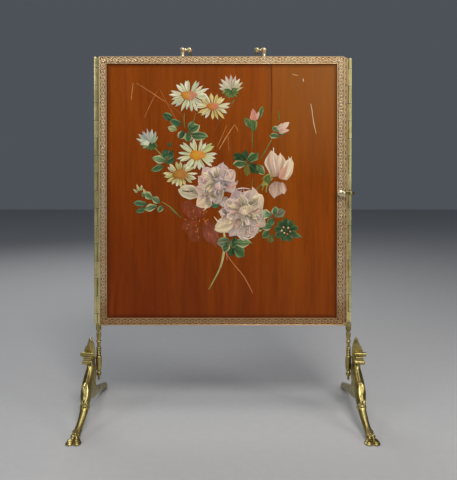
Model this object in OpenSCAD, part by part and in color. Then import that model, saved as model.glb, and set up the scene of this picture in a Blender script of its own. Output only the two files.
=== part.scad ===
// Three-leaf folding fire screen: a fixed centre leaf on two turned posts with
// cast legs, a wing folded flat in front of it, a wing folded flat behind it,
// and a swing handle on the top rail. X runs across, Y runs front to back
// (front is negative), Z is up and the floor is Z = 0.

/* [Leaves] */
// Width of the fixed centre leaf
frame_w = 492; // [440:1:560]
// Height of the bottom edge of the centre leaf above the floor
frame_bottom = 181; // [178:1:190]
// Height of the top edge of the leaves above the floor
frame_top = 711; // [600:1:760]
// Visible width of the brass border on each edge of a leaf
rail_w = 14.4; // [12:0.2:20]
// Thickness of a leaf over its brass channel
frame_t = 12; // [11:0.5:12]
// Thickness of the brass sheet of the channels
sheet_t = 1.2; // [0.8:0.1:1.5]
// Thickness of the mahogany boards
board_t = 7; // [5:0.5:7.5]
// Gap between neighbouring leaves when folded
leaf_gap = 1; // [0.8:0.1:2]
// Radius of the leaf corners
corner_r = 3; // [1:0.5:6]

/* [Hinges] */
// Distance of each hinge axis from the middle of the screen
hinge_x = 254.2; // [254:0.1:255]
// Outer radius of the hinge barrel
barrel_r = 3.4; // [3:0.1:3.6]
// Radius of the hinge pin
pin_r = 1.3; // [1:0.1:1.6]
// Running clearance of the wing knuckles on the pin
pin_clear = 0.05; // [0.03:0.01:0.1]
// Length of each long knuckle
knuckle_l = 34.9; // [34.9:0.1:34.9]
// Thickness of the hinge plates
plate_t = 0.8; // [0.6:0.1:1]

/* [Posts and legs] */
// Distance of each post from the middle of the screen
post_x = 250.5; // [250:0.1:251]
// Distance of the toe of the front foot from the screen plane
toe_y = 143; // [143:1:143]
// Distance of the end of the rear foot from the screen plane
heel_y = 136; // [136:1:136]

/* [Handle and catches] */
// Distance of each handle post from the middle of the screen
handle_x = 81.3; // [60:0.1:110]
// Height of the handle pivot
handle_z = 727.5; // [727:0.5:728]
// Reach of the handle behind its pivot
bail_reach = 44; // [30:1:50]
// Height of the catches above the floor
catch_z = 442; // [400:1:446]
// Width of the catch straps
catch_w = 11.6; // [8:0.2:14]

/* [Hidden] */
$fn = 64;

fx = frame_w / 2;
hinge_y = (frame_t + leaf_gap) / 2;
wing_y = -(frame_t + leaf_gap);
wing_x0 = -(hinge_x - 9.9);
wing_x1 = 238;
wing_bottom = frame_bottom + 0.2;
barrel_z0 = frame_bottom + 2;
barrel_z1 = frame_top - 1;
first_joint = 202.2;
joint_n = floor((barrel_z1 - 6 - first_joint) / knuckle_l);
screw_z = [for (k = [0:5]) frame_bottom + 15 + k * (frame_top - frame_bottom - 30) / 5];
brass = "#b08d4a";
border_brass = "#b98f72";
wood = "#8a3f16";
slot_r = 1.2;

// ---- leaf frame ----------------------------------------------------------

// Section of the folded brass channel, v = 0 at the inner edge, v = rail_w at the outer edge
module channel_2d() {
  h = frame_t / 2;
  b = board_t / 2;
  polygon([
    [rail_w, -h], [rail_w, h], [0, h], [0, b], [sheet_t, b], [sheet_t, h - sheet_t],
    [rail_w - sheet_t, h - sheet_t], [rail_w - sheet_t, -h + sheet_t], [sheet_t, -h + sheet_t],
    [sheet_t, -b], [0, -b], [0, -h]]);
}

// Outline of a leaf seen from the front, its four corners rounded
module leaf_2d(x0, x1, z0, z1) {
  r = corner_r;
  translate([x0 + r, z0]) square([x1 - x0 - 2 * r, z1 - z0]);
  translate([x0, z0 + r]) square([x1 - x0, z1 - z0 - 2 * r]);
  for (x = [x0 + r, x1 - r], z = [z0 + r, z1 - r]) translate([x, z]) circle(r = r);
}

module slab(y) { translate([0, y + frame_t, 0]) rotate([90, 0, 0]) linear_extrude(2 * frame_t) children(); }

// One border member, mitred at both ends: side is "top", "bottom", "left" or "right"
module border(side, x0, x1, z0, z1, y) {
  w = rail_w;
  intersection() {
    if (side == "top") translate([x1, y, z1 - w]) rotate([0, -90, 0]) linear_extrude(x1 - x0) channel_2d();
    else if (side == "bottom") translate([x1, y, z0 + w]) rotate([0, -90, 0]) linear_extrude(x1 - x0) mirror([1, 0]) channel_2d();
    else if (side == "left") translate([x0 + w, y, z0]) linear_extrude(z1 - z0) mirror([1, 0]) channel_2d();
    else translate([x1 - w, y, z0]) linear_extrude(z1 - z0) channel_2d();
    slab(y) leaf_2d(x0, x1, z0, z1);
    slab(y) polygon(
      side == "top" ? [[x0, z1], [x1, z1], [x1 - w, z1 - w], [x0 + w, z1 - w]] :
      side == "bottom" ? [[x0, z0], [x1, z0], [x1 - w, z0 + w], [x0 + w, z0 + w]] :
      side == "left" ? [[x0, z0], [x0 + w, z0 + w], [x0 + w, z1 - w], [x0, z1]] :
      [[x1, z0], [x1 - w, z0 + w], [x1 - w, z1 - w], [x1, z1]]);
  }
}

module board(x0, x1, z0, z1, y) {
  m = sheet_t * 2;
  translate([x0 + m, y - board_t / 2, z0 + m]) cube([x1 - x0 - 2 * m, board_t, z1 - z0 - 2 * m]);
}

module centre(side) { color(border_brass) border(side, -fx, fx, frame_bottom, frame_top, 0); }
module wing(side) { color(border_brass) border(side, wing_x0, wing_x1, wing_bottom, frame_top, wing_y); }

// Holes through the edge of a stile for the hinge screws
module edge_holes(x, y) {
  for (z = screw_z) translate([x - 6, y, z]) rotate([0, 90, 0]) cylinder(r = slot_r, h = 12);
}

module centre_top_rail() {
  difference() {
    centre("top");
    for (s = [-1, 1]) translate([s * handle_x, 0, frame_top - 4]) cylinder(r = 2.5, h = 8);
  }
}
module centre_bottom_rail() {
  difference() {
    centre("bottom");
    for (s = [-1, 1]) translate([s * 238, 0, frame_bottom - 2]) cylinder(r = 1.5, h = 6);
  }
}
module centre_left_stile() { difference() { centre("left"); edge_holes(-fx, 0); } }
module centre_right_stile() { mirror([1, 0, 0]) centre_left_stile(); }
module centre_panel() {
  color(wood) difference() {
    board(-fx, fx, frame_bottom, frame_top, 0);
    for (s = [-1, 1]) {
      edge_holes(s * fx, 0);
      translate([s * 238, 0, frame_bottom]) cylinder(r = 1.5, h = 8);
    }
  }
}

// ---- wings: the right wing is the left one turned half round ---------------

module w_top_rail() { wing("top"); }
module w_bottom_rail() { wing("bottom"); }
module w_hinge_stile() { difference() { wing("left"); edge_holes(wing_x0, wing_y); } }
module w_free_stile() {
  difference() {
    wing("right");
    translate([231, wing_y, catch_z]) rotate([90, 0, 0]) cylinder(r = 1.5, h = 10);
  }
}
module w_panel() {
  color(wood) difference() {
    board(wing_x0, wing_x1, wing_bottom, frame_top, wing_y);
    edge_holes(wing_x0, wing_y);
  }
}

// ---- continuous hinge -------------------------------------------------------

function joint_z(i) = i <= 0 ? barrel_z0 : i >= joint_n + 2 ? barrel_z1 : first_joint + (i - 1) * knuckle_l;

// Knuckles of one leaf of the left hinge, in the place of the hinge axis
module knuckles(odd, bore) {
  for (i = [odd:2:joint_n + 1]) {
    a = joint_z(i) + (i == 0 ? 0 : 0.15);
    b = joint_z(i + 1) - 0.15;
    translate([0, 0, a]) difference() {
      union() {
        cylinder(r = barrel_r, h = b - a);
        translate([barrel_r - 1, odd == 1 ? -2 : 1.2, 0]) cube([barrel_r, 0.8, b - a]);
      }
      translate([0, 0, -1]) cylinder(r = bore, h = b - a + 2);
    }
  }
}

// Flange that closes the gap between the barrel and the edge of a leaf, from axis offset a to b
module flange(a, b, y) {
  translate([-hinge_x + a, -hinge_y + y, barrel_z0]) cube([b - a, 0.8, barrel_z1 - barrel_z0]);
}

module fixed_leaf() {
  color(brass) difference() {
    union() {
      flange(barrel_r + 0.7, hinge_x - fx - plate_t / 2, 1.2);
      translate([-hinge_x, -hinge_y, 0]) knuckles(0, pin_r);
      translate([-fx - plate_t, -frame_t / 2 + 0.3, barrel_z0]) cube([plate_t, frame_t - 0.6, barrel_z1 - barrel_z0]);
    }
    edge_holes(-fx, 0);
  }
}
module w_hinge_leaf() {
  color(brass) difference() {
    union() {
      flange(barrel_r + 0.7, hinge_x + wing_x0 - plate_t / 2, -2);
      translate([-hinge_x, -hinge_y, 0]) knuckles(1, pin_r + pin_clear);
      translate([wing_x0 - plate_t, wing_y - frame_t / 2 + 0.3, barrel_z0]) cube([plate_t, frame_t - 0.6, barrel_z1 - barrel_z0]);
    }
    edge_holes(wing_x0, wing_y);
  }
}

// Pin with a domed button at each end
module hinge_pin() {
  h = barrel_z1 - barrel_z0;
  color(brass) translate([-hinge_x, -hinge_y, barrel_z0]) rotate_extrude() polygon([
    [0, -1.6], [barrel_r - 1.8, -1.4], [barrel_r - 0.7, -0.9], [barrel_r - 0.1, 0], [pin_r, 0], [pin_r, h + 0.15],
    [barrel_r - 0.1, h + 0.15], [barrel_r - 0.2, h + 0.8], [barrel_r - 0.9, h + 1.7], [barrel_r - 2, h + 2.2], [0, h + 2.4]]);
}

module hinge_screw() {
  rotate([0, 90, 0]) rotate_extrude() polygon([[0, -0.5], [1.4, -0.5], [2.1, 0], [slot_r, 0], [slot_r, 4], [0, 4.8]]);
}
module screws_at(x, y) { color(brass) for (z = screw_z) translate([x, y, z]) hinge_screw(); }

// ---- posts ------------------------------------------------------------------

// Turned post, from its tenon in the bracket down to the drop button
module post() {
  top = frame_bottom;
  color(brass) difference() {
    translate([post_x, 0, 0]) rotate_extrude() polygon(concat(
      [[0, top], [3, top], [3, top - 4], [4.6, top - 4], [5.3, top - 5], [5.3, top - 7.5],
       [4.5, top - 8.2], [5.3, top - 9], [5.3, top - 14], [4.3, top - 15.4], [3.2, top - 16]],
      [for (t = [0:0.125:1]) [3.1 + 1.8 * pow(sin(180 * pow(t, 0.8)), 1), top - 17 - 17.5 * t]],
      [[3.2, top - 35.2], [5, top - 35.8], [5, top - 38.2], [3.3, top - 38.8], [3.9, top - 40]],
      [[3.2, top - 47.2]],
      [for (k = [0:4], p = [[3.9, 0], [4.9, 0.5], [4.9, 2.2], [3.9, 2.8]]) [p[0], top - 48 - 3.5 * k - p[1]]],
      [[3.6, top - 65.6], [4.9, top - 66.4], [5.8, top - 68.4], [5.8, top - 93.4], [5.2, top - 95.5], [3.2, top - 96.5]],
      [for (t = [0:0.125:1]) [max(1.9, 4.6 * sin(22 + 146 * t)), top - 97.1 - 10.4 * t]],
      [[1.9, top - 108.2], [2.6, top - 109.6], [2.5, top - 112.4], [1.4, top - 114.4], [0, top - 115.2]]));
    for (z = lug_z) translate([post_x, 0, z]) rotate([0, 90, 0]) cylinder(r = 1.5, h = 20);
  }
}
lug_z = [frame_bottom - 68.5, frame_bottom - 90];

module bracket() {
  color(brass) difference() {
    union() {
      translate([232, -5.6, frame_bottom - 4]) cube([post_x - 232, 11.2, 4]);
      translate([post_x, 0, frame_bottom - 4]) cylinder(r = 5.6, h = 4);
    }
    translate([post_x, 0, frame_bottom - 5]) cylinder(r = 3, h = 6);
    translate([238, 0, frame_bottom - 5]) cylinder(r = 1.5, h = 6);
  }
}
module bracket_screws() {
  color(brass) for (s = [-1, 1]) translate([s * 238, 0, frame_bottom - 4]) rotate_extrude()
    polygon([[0, -1.6], [1.9, -1.4], [3, -0.6], [3, 0], [1.5, 0], [1.5, 9], [0, 10]]);
}

// ---- cast legs --------------------------------------------------------------

// Ring of a loft: [x, y, z, half width along X, half thickness, lean of the thickness from Y towards Z]
function ring(s, n) = [for (i = [0:n - 1]) let (t = -360 * i / n)
  [s[0] + s[3] * cos(t), s[1] + s[4] * sin(t) * cos(s[5]), s[2] + s[4] * sin(t) * sin(s[5])]];

module loft(st, n = 20) {
  m = len(st);
  polyhedron(
    points = [for (s = st) each ring(s, n)],
    faces = concat(
      [[for (i = [0:n - 1]) i]],
      [[for (i = [n - 1:-1:0]) (m - 1) * n + i]],
      [for (k = [0:m - 2], i = [0:n - 1], f = [0, 1]) let (a = k * n + i, b = k * n + (i + 1) % n, c = a + n, d = b + n)
        f == 0 ? [a, c, b] : [b, c, d]]),
    convexity = 6);
}

// Neck, haunch, knee and shin of the front leg down to the ankle
leg_line = [
  [263.6, -12, 127, 5.5, 5, 0], [263.6, -12, 118, 7.2, 8, 0], [263.2, -14, 108, 7.8, 10, 0],
  [262.4, -17, 98, 8.2, 12, -4], [262.8, -23, 88, 9.2, 14.5, -14], [263.2, -31, 78, 10.2, 17, -24],
  [263, -41, 68.5, 10.8, 18, -34], [262.2, -52, 59.5, 10.5, 16, -42], [261, -63, 51, 9.6, 12.5, -46],
  [260.3, -70.5, 44.5, 8.6, 10, -47], [260, -73.5, 42, 8.9, 9.6, -47], [260.1, -76, 40, 8.7, 9, -47],
  [260.2, -78, 38, 7.9, 7.8, -47], [260.6, -84, 32.5, 7.6, 7.2, -48], [261.6, -93, 25, 7.1, 6.8, -50],
  [262.8, -102, 18.8, 6.8, 6.2, -54], [264, -110, 14.2, 7, 6, -58], [265, -117, 10.6, 8, 6.4, -64],
  [265.7, -122, 8.4, 8.8, 6.6, -70]];

module crest() {
  loft([[260.2, -21.6, 160, 0.7, 0.7, 0], [260.3, -22, 156, 2.3, 1.9, 0], [260.8, -22.4, 150, 4.6, 3, 0], [261.6, -22.4, 143, 7.2, 4, 0],
        [262.6, -22, 136, 9.6, 4.8, 0], [263.6, -21.5, 130, 11.4, 5.4, 0], [264, -21, 123, 11.8, 5.6, 0]], 20);
  for (s = [-1, 1]) loft([[261 + s * 5.4, -22.6, 150 - s * 4, 0.5, 0.5, 0], [261.6 + s * 6, -23, 145 - s * 4, 1.7, 1.8, 0],
        [262.4 + s * 6.4, -23, 136, 3.3, 3, 0], [263.4 + s * 5.5, -22, 127, 4, 4, 0]], 12);
}

module bar(x0, x1, y, z, r) { hull() translate([x0, y, z]) rotate([0, 90, 0]) cylinder(r = r, h = x1 - x0, $fn = 32); }

module rolls() {
  bar(254.5, 280.5, -27, 125.8, 4.7);
  bar(257, 275.5, -26, 117.4, 6.2);
  bar(256, 277.5, -27.5, 109.8, 4.4);
  hull() translate([258, -24, 106]) cube([17, 14, 24]);
}

// Cloven foot, flat on the floor
module hoof() {
  for (s = [-1, 1]) hull() {
    translate([266 + s * 4, -117, 5]) sphere(r = 5.5, $fn = 20);
    translate([266 + s * 9.4, -133, 3.2]) sphere(r = 4.6, $fn = 20);
    translate([266 + s * 5, -138.8, 2.6]) sphere(r = 4.2, $fn = 20);
    translate([266 + s * 4.6, -126, 8]) sphere(r = 5.2, $fn = 20);
  }
  hull() translate([266, -121, 6.5]) sphere(r = 7, $fn = 20);
}

// Small links that hold the leg to the post
module lugs() {
  for (z = lug_z) bar(255.2, 263.2, 0, z, 3.2);
  hull() translate([260, -10, lug_z[1] - 6]) cube([6, 14, 38]);
}

module front_leg_body() {
  difference() {
    union() { loft(leg_line); crest(); rolls(); hoof(); lugs(); }
    translate([post_x, 0, 50]) cylinder(r = 5.82, h = 90, $fn = 64);
    for (z = lug_z) translate([post_x, 0, z]) rotate([0, 90, 0]) cylinder(r = 1.55, h = 14, $fn = 32);
    translate([240, -200, -20]) cube([60, 400, 20]);
  }
}
module front_leg() { color(brass) front_leg_body(); }

// Plain tapered bar that reaches back from the haunch to the rear foot
rear_line = [
  [263.5, -30, 62, 5, 12, 60], [263.8, -14, 51, 5.6, 13.5, 64], [264.2, 2, 42, 5.8, 12.8, 70], [264.8, 20, 35.5, 6, 11.2, 76],
  [265.4, 40, 30.5, 6, 9.6, 78], [266, 62, 25, 6, 8.6, 77], [266.6, 84, 19, 6, 7.8, 76], [267.2, 104, 13.6, 6.4, 7.2, 76],
  [267.8, 120, 8.8, 7, 6.8, 80], [268, 130, 6.4, 7.2, 6.4, 88], [268, 134.5, 6, 5.4, 5.2, 90], [268, heel_y, 5.8, 3, 3, 90]];
module rear_leg() {
  color(brass) difference() {
    loft(rear_line, 16);
    front_leg_body();
    translate([240, -200, -20]) cube([60, 400, 20]);
  }
}

module leg_screws() {
  color(brass) for (s = [-1, 1]) scale([1, 1, 1]) mirror([s < 0 ? 1 : 0, 0, 0]) for (z = lug_z)
    translate([post_x + 1, 0, z]) rotate([0, 90, 0]) cylinder(r = 1.5, h = 9);
}

// ---- handle -----------------------------------------------------------------

// Small pedestal with a ball that carries the pivot pin
module handle_post(s) {
  color(brass) {
    translate([s * handle_x, 0, frame_top]) rotate_extrude() polygon(concat(
      [[0, -2.2], [2.5, -2.2], [2.5, 0], [5.6, 0], [5.6, 1.6], [3.4, 3], [2.5, 6], [2.6, 9.5], [3.6, 11.6]],
      [for (a = [-50:20:90]) [4.9 * cos(a), handle_z - frame_top + 4.3 * sin(a)]]));
    translate([s * handle_x - s * 3, 0, handle_z]) rotate([0, -s * 90, 0]) cylinder(r = 1.6, h = 15.5);
  }
}

bail_dip = 14;
module bail_handle() {
  x = 66.6;
  r = 2.6;
  bend = 9;
  color(brass) translate([0, 0, handle_z]) rotate([-bail_dip, 0, 0]) difference() {
    union() {
      for (s = [-1, 1]) {
        translate([s * x, 0, 0]) rotate([0, 90, 0]) rotate_extrude() polygon([for (a = [-90:15:90]) [4.9 * cos(a), 4.4 * sin(a)]]);
        translate([s * x, 3, 0]) rotate([-90, 0, 0]) cylinder(r = r, h = bail_reach - bend - 3);
        translate([s * (x - bend), bail_reach - bend, 0]) rotate([0, 0, s < 0 ? 90 : 0]) rotate_extrude(angle = 90) translate([bend, 0]) circle(r = r);
      }
      translate([-x + bend, bail_reach, 0]) rotate([0, 90, 0]) cylinder(r = r, h = 2 * (x - bend));
      translate([0, bail_reach, 0]) rotate([0, 90, 0]) rotate_extrude() polygon(concat(
        [[0, -36], [3.6, -36], [3.6, -33.6]], [for (t = [0:0.1:1]) [2.9 + 1.1 * sin(180 * t), -33 + 66 * t]], [[3.6, 33.6], [3.6, 36], [0, 36]]));
    }
    for (s = [-1, 1]) translate([s * x - 8, 0, 0]) rotate([0, 90, 0]) cylinder(r = 1.65, h = 16);
  }
}

// ---- catches ----------------------------------------------------------------

// Spring strap riveted to the free stile; its hook lies round the barrel of the other hinge
module w_catch_strap() {
  y = wing_y - frame_t / 2;
  t = 1.2;
  cx = 247; cy = y + 12;
  color(brass) translate([0, 0, catch_z - catch_w / 2]) difference() {
    linear_extrude(catch_w) union() {
      translate([223, y - t]) square([cx - 223, t]);
      intersection() {
        translate([cx, cy]) difference() { circle(r = 12 + t); circle(r = 12); }
        translate([cx, cy - 20]) square([20, 20]);
      }
      translate([cx + 12, cy]) square([t, 3.2 - cy]);
    }
    translate([231, y + 1, catch_w / 2]) rotate([90, 0, 0]) cylinder(r = 1.5, h = 4);
  }
}

module w_knob() {
  y = wing_y - frame_t / 2 - 1.2;
  color(brass) translate([231, y, catch_z]) rotate([90, 0, 0]) rotate_extrude() polygon(concat(
    [[0, -3.5], [1.5, -3.5], [1.5, 0], [5, 0], [5, 0.8], [3.2, 2], [3.2, 4], [6.4, 5]],
    [for (a = [0:15:90]) [8 * cos(a), 5.8 + 4.6 * sin(a)]]));
}

// ---- nodes ------------------------------------------------------------------

module turned() { rotate([0, 0, 180]) children(); }
module left_post() { mirror([1, 0, 0]) post(); }
module right_post() { turned() mirror([1, 0, 0]) post(); }
module left_post_bracket() { mirror([1, 0, 0]) bracket(); }
module right_post_bracket() { bracket(); }
module left_front_leg() { mirror([1, 0, 0]) front_leg(); }
module right_front_leg() { front_leg(); }
module left_rear_leg() { mirror([1, 0, 0]) rear_leg(); }
module right_rear_leg() { rear_leg(); }
module left_hinge_pin() { hinge_pin(); }
module right_hinge_pin() { turned() hinge_pin(); }
module left_hinge_fixed_leaf() { fixed_leaf(); }
module right_hinge_fixed_leaf() { turned() fixed_leaf(); }
module hinge_fixed_screws() { screws_at(-fx - plate_t, 0); turned() screws_at(-fx - plate_t, 0); }
module handle_post_left() { handle_post(-1); }
module handle_post_right() { handle_post(1); }
module left_wing_top_rail() { w_top_rail(); }
module left_wing_bottom_rail() { w_bottom_rail(); }
module left_wing_hinge_stile() { w_hinge_stile(); }
module left_wing_free_stile() { w_free_stile(); }
module left_wing_panel() { w_panel(); }
module left_hinge_wing_leaf() { w_hinge_leaf(); }
module left_wing_hinge_screws() { screws_at(wing_x0 - plate_t, wing_y); }
module left_wing_catch_strap() { w_catch_strap(); }
module left_wing_knob() { w_knob(); }
module right_wing_top_rail() { turned() w_top_rail(); }
module right_wing_bottom_rail() { turned() w_bottom_rail(); }
module right_wing_hinge_stile() { turned() w_hinge_stile(); }
module right_wing_free_stile() { turned() w_free_stile(); }
module right_wing_panel() { turned() w_panel(); }
module right_hinge_wing_leaf() { turned() w_hinge_leaf(); }
module right_wing_hinge_screws() { turned() screws_at(wing_x0 - plate_t, wing_y); }
module right_wing_catch_strap() { turned() w_catch_strap(); }
module right_wing_knob() { turned() w_knob(); }

centre_top_rail();
centre_bottom_rail();
centre_left_stile();
centre_right_stile();
centre_panel();
left_post();
right_post();
left_post_bracket();
right_post_bracket();
bracket_screws();
left_front_leg();
right_front_leg();
left_rear_leg();
right_rear_leg();
leg_screws();
left_hinge_pin();
right_hinge_pin();
left_hinge_fixed_leaf();
right_hinge_fixed_leaf();
hinge_fixed_screws();
handle_post_left();
handle_post_right();
bail_handle();
left_wing_top_rail();
left_wing_bottom_rail();
left_wing_hinge_stile();
left_wing_free_stile();
left_wing_panel();
left_hinge_wing_leaf();
left_wing_hinge_screws();
left_wing_catch_strap();
left_wing_knob();
right_wing_top_rail();
right_wing_bottom_rail();
right_wing_hinge_stile();
right_wing_free_stile();
right_wing_panel();
right_hinge_wing_leaf();
right_wing_hinge_screws();
right_wing_catch_strap();
right_wing_knob();
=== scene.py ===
import math
import bpy
import numpy as np
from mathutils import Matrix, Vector


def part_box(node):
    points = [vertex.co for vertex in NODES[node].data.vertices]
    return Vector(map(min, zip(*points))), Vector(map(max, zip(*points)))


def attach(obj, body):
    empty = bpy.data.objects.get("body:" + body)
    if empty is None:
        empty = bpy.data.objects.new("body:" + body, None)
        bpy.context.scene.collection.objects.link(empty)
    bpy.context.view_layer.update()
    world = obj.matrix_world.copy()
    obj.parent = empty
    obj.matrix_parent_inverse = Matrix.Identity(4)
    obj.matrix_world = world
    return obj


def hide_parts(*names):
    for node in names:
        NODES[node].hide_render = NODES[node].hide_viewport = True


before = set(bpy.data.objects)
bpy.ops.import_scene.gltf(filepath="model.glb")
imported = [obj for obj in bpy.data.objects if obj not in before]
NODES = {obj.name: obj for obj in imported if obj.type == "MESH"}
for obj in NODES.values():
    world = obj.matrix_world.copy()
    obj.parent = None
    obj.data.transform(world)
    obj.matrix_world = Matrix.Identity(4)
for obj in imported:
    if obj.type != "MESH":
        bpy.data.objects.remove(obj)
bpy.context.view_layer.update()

MM = 0.001


# ---------------------------------------------------------------- helpers ----

def mesh_object(name, verts, faces, mat=None, body=None, smooth=True, attrs=None, mats=None, face_mat=None):
    """A mesh object from arrays: verts in millimetres, faces as lists or an (n, k) array."""
    me = bpy.data.meshes.new(name)
    v = np.asarray(verts, dtype=np.float64) * MM
    me.vertices.add(len(v))
    me.vertices.foreach_set("co", v.astype(np.float32).ravel())
    if isinstance(faces, np.ndarray):
        k = faces.shape[1]
        loops, starts, totals = faces.ravel(), np.arange(len(faces)) * k, np.full(len(faces), k)
    else:
        totals = np.array([len(f) for f in faces])
        starts = np.concatenate([[0], np.cumsum(totals)[:-1]])
        loops = np.concatenate([np.asarray(f) for f in faces])
    me.loops.add(len(loops))
    me.loops.foreach_set("vertex_index", loops.astype(np.int32))
    me.polygons.add(len(totals))
    me.polygons.foreach_set("loop_start", starts.astype(np.int32))
    me.polygons.foreach_set("use_smooth", np.full(len(totals), smooth))
    me.update(calc_edges=True)
    me.validate()
    for key, value in (attrs or {}).items():
        value = np.asarray(value, dtype=np.float32)
        if value.ndim == 1:
            a = me.attributes.new(key, "FLOAT", "POINT")
            a.data.foreach_set("value", value)
        else:
            a = me.color_attributes.new(key, "FLOAT_COLOR", "POINT")
            a.data.foreach_set("color", np.concatenate([value, np.ones((len(value), 1), np.float32)], 1).ravel())
    for m in mats or ([mat] if mat else []):
        me.materials.append(m)
    if face_mat is not None:
        me.polygons.foreach_set("material_index", np.asarray(face_mat, dtype=np.int32))
    ob = bpy.data.objects.new(name, me)
    bpy.context.scene.collection.objects.link(ob)
    if body:
        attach(ob, body)
    return ob


class Parts:
    """Collects closed shells into one mesh."""

    def __init__(self):
        self.v, self.f, self.n, self.a = [], [], 0, []

    def add(self, verts, faces, value=None):
        verts = np.asarray(verts, dtype=float)
        self.v.append(verts)
        self.f += [[i + self.n for i in f] for f in (faces.tolist() if isinstance(faces, np.ndarray) else faces)]
        self.n += len(verts)
        if value is not None:
            self.a.append(np.broadcast_to(np.asarray(value, dtype=float), (len(verts),) + np.shape(value)[1:] if np.ndim(value) > 1 else (len(verts),)))
        return self

    def verts(self):
        return np.concatenate(self.v)


def grid_faces(rows, cols, wrap=False):
    i, j = np.meshgrid(np.arange(rows - 1), np.arange(cols if wrap else cols - 1), indexing="ij")
    a = i * cols + j
    b = i * cols + (j + 1) % cols
    return np.stack([a.ravel(), b.ravel(), (b + cols).ravel(), (a + cols).ravel()], 1)


def lathe(profile, n=48, axis="z", centre=(0, 0, 0)):
    """Surface of revolution; profile is (radius, height) from one end to the other, ends on the axis."""
    p = np.asarray(profile, dtype=float)
    t = np.arange(n) * 2 * math.pi / n
    r, h = p[1:-1, 0], p[1:-1, 1]
    ring = np.stack([np.outer(r, np.cos(t)), np.outer(r, np.sin(t)), np.repeat(h[:, None], n, 1)], 2).reshape(-1, 3)
    verts = np.concatenate([ring, [[0, 0, p[0, 1]], [0, 0, p[-1, 1]]]])
    rows = len(r)
    f = grid_faces(rows, n, True).tolist()
    a, b = rows * n, rows * n + 1
    f += [[a, (j + 1) % n, j] for j in range(n)]
    f += [[b, (rows - 1) * n + j, (rows - 1) * n + (j + 1) % n] for j in range(n)]
    if p[0, 1] > p[-1, 1]:
        f = [list(reversed(q)) for q in f]
    if axis == "x":
        verts = verts[:, [2, 0, 1]]
    elif axis == "y":
        verts = verts[:, [1, 2, 0]]
    return verts + np.asarray(centre), f


def smooth_profile(points, per=6):
    """Catmull-Rom through the points."""
    p = np.asarray(points, dtype=float)
    q = np.concatenate([[2 * p[0] - p[1]], p, [2 * p[-1] - p[-2]]])
    out = []
    for i in range(len(p) - 1):
        a, b, c, d = q[i:i + 4]
        for t in np.arange(per) / per:
            out.append(0.5 * ((2 * b) + (c - a) * t + (2 * a - 5 * b + 4 * c - d) * t * t + (3 * b - 3 * c + d - a) * t ** 3))
    out.append(p[-1])
    return np.array(out)


def loft(stations, n=48, per=6, disp=None):
    """Stations are [x, y, z, half width, half depth, lean in degrees]. disp(u, angle, centre) gives millimetres outward."""
    s = smooth_profile(stations, per)
    t = np.arange(n) * 2 * math.pi / n
    rows = len(s)
    lean = np.radians(s[:, 5])
    c, w = np.cos(t), np.sin(t)
    a, b = s[:, 3:4].copy(), s[:, 4:5].copy()
    if disp is not None:
        u = np.repeat(np.linspace(0, 1, rows)[:, None], n, 1)
        ang = np.repeat(t[None, :], rows, 0)
        d = disp(u, ang, s)
    else:
        d = np.zeros((rows, n))
    x = s[:, 0:1] + (np.maximum(a, 0.05) + d) * c
    k = (np.maximum(b, 0.05) + d) * w
    y = s[:, 1:2] + k * np.cos(lean)[:, None]
    z = s[:, 2:3] + k * np.sin(lean)[:, None]
    verts = np.stack([x, y, z], 2).reshape(-1, 3)
    ends = s[[0, -1], :3]
    f = grid_faces(rows, n, True).tolist()
    A, B = rows * n, rows * n + 1
    f += [[A, (j + 1) % n, j] for j in range(n)]
    f += [[B, (rows - 1) * n + j, (rows - 1) * n + (j + 1) % n] for j in range(n)]
    return np.concatenate([verts, ends]), f


def ellipsoid(c, r, n=24, m=14, rot=0.0):
    th = np.linspace(0, math.pi, m)
    v, f = lathe(np.stack([np.sin(th), -np.cos(th)], 1), n)
    v = v * np.asarray(r)
    if rot:
        q = math.radians(rot)
        y, z = v[:, 1].copy(), v[:, 2].copy()
        v[:, 1], v[:, 2] = y * math.cos(q) - z * math.sin(q), y * math.sin(q) + z * math.cos(q)
    return v + np.asarray(c), f


def hash01(*k):
    """A repeatable number from 0 to 1 for integer keys."""
    x = 1469598103
    for i in k:
        x = ((x ^ (int(i) & 0xFFFFFFFF)) * 16777619 + 974711) & 0xFFFFFFFF
    x ^= x >> 15
    x = (x * 2246822519) & 0xFFFFFFFF
    x ^= x >> 13
    return (x & 0xFFFFFF) / 0xFFFFFF


def value_noise(x, y, seed=0):
    """Smooth 2-D noise, 0 to 1, cell size 1."""
    rng = np.random.default_rng(seed)
    tab = rng.random((64, 64))
    xi, yi = np.floor(x).astype(int), np.floor(y).astype(int)
    fx, fy = x - xi, y - yi
    fx, fy = fx * fx * (3 - 2 * fx), fy * fy * (3 - 2 * fy)
    g = lambda i, j: tab[i % 64, j % 64]
    return (g(xi, yi) * (1 - fx) * (1 - fy) + g(xi + 1, yi) * fx * (1 - fy) + g(xi, yi + 1) * (1 - fx) * fy + g(xi + 1, yi + 1) * fx * fy)


# -------------------------------------------------------------- materials ----

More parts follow.
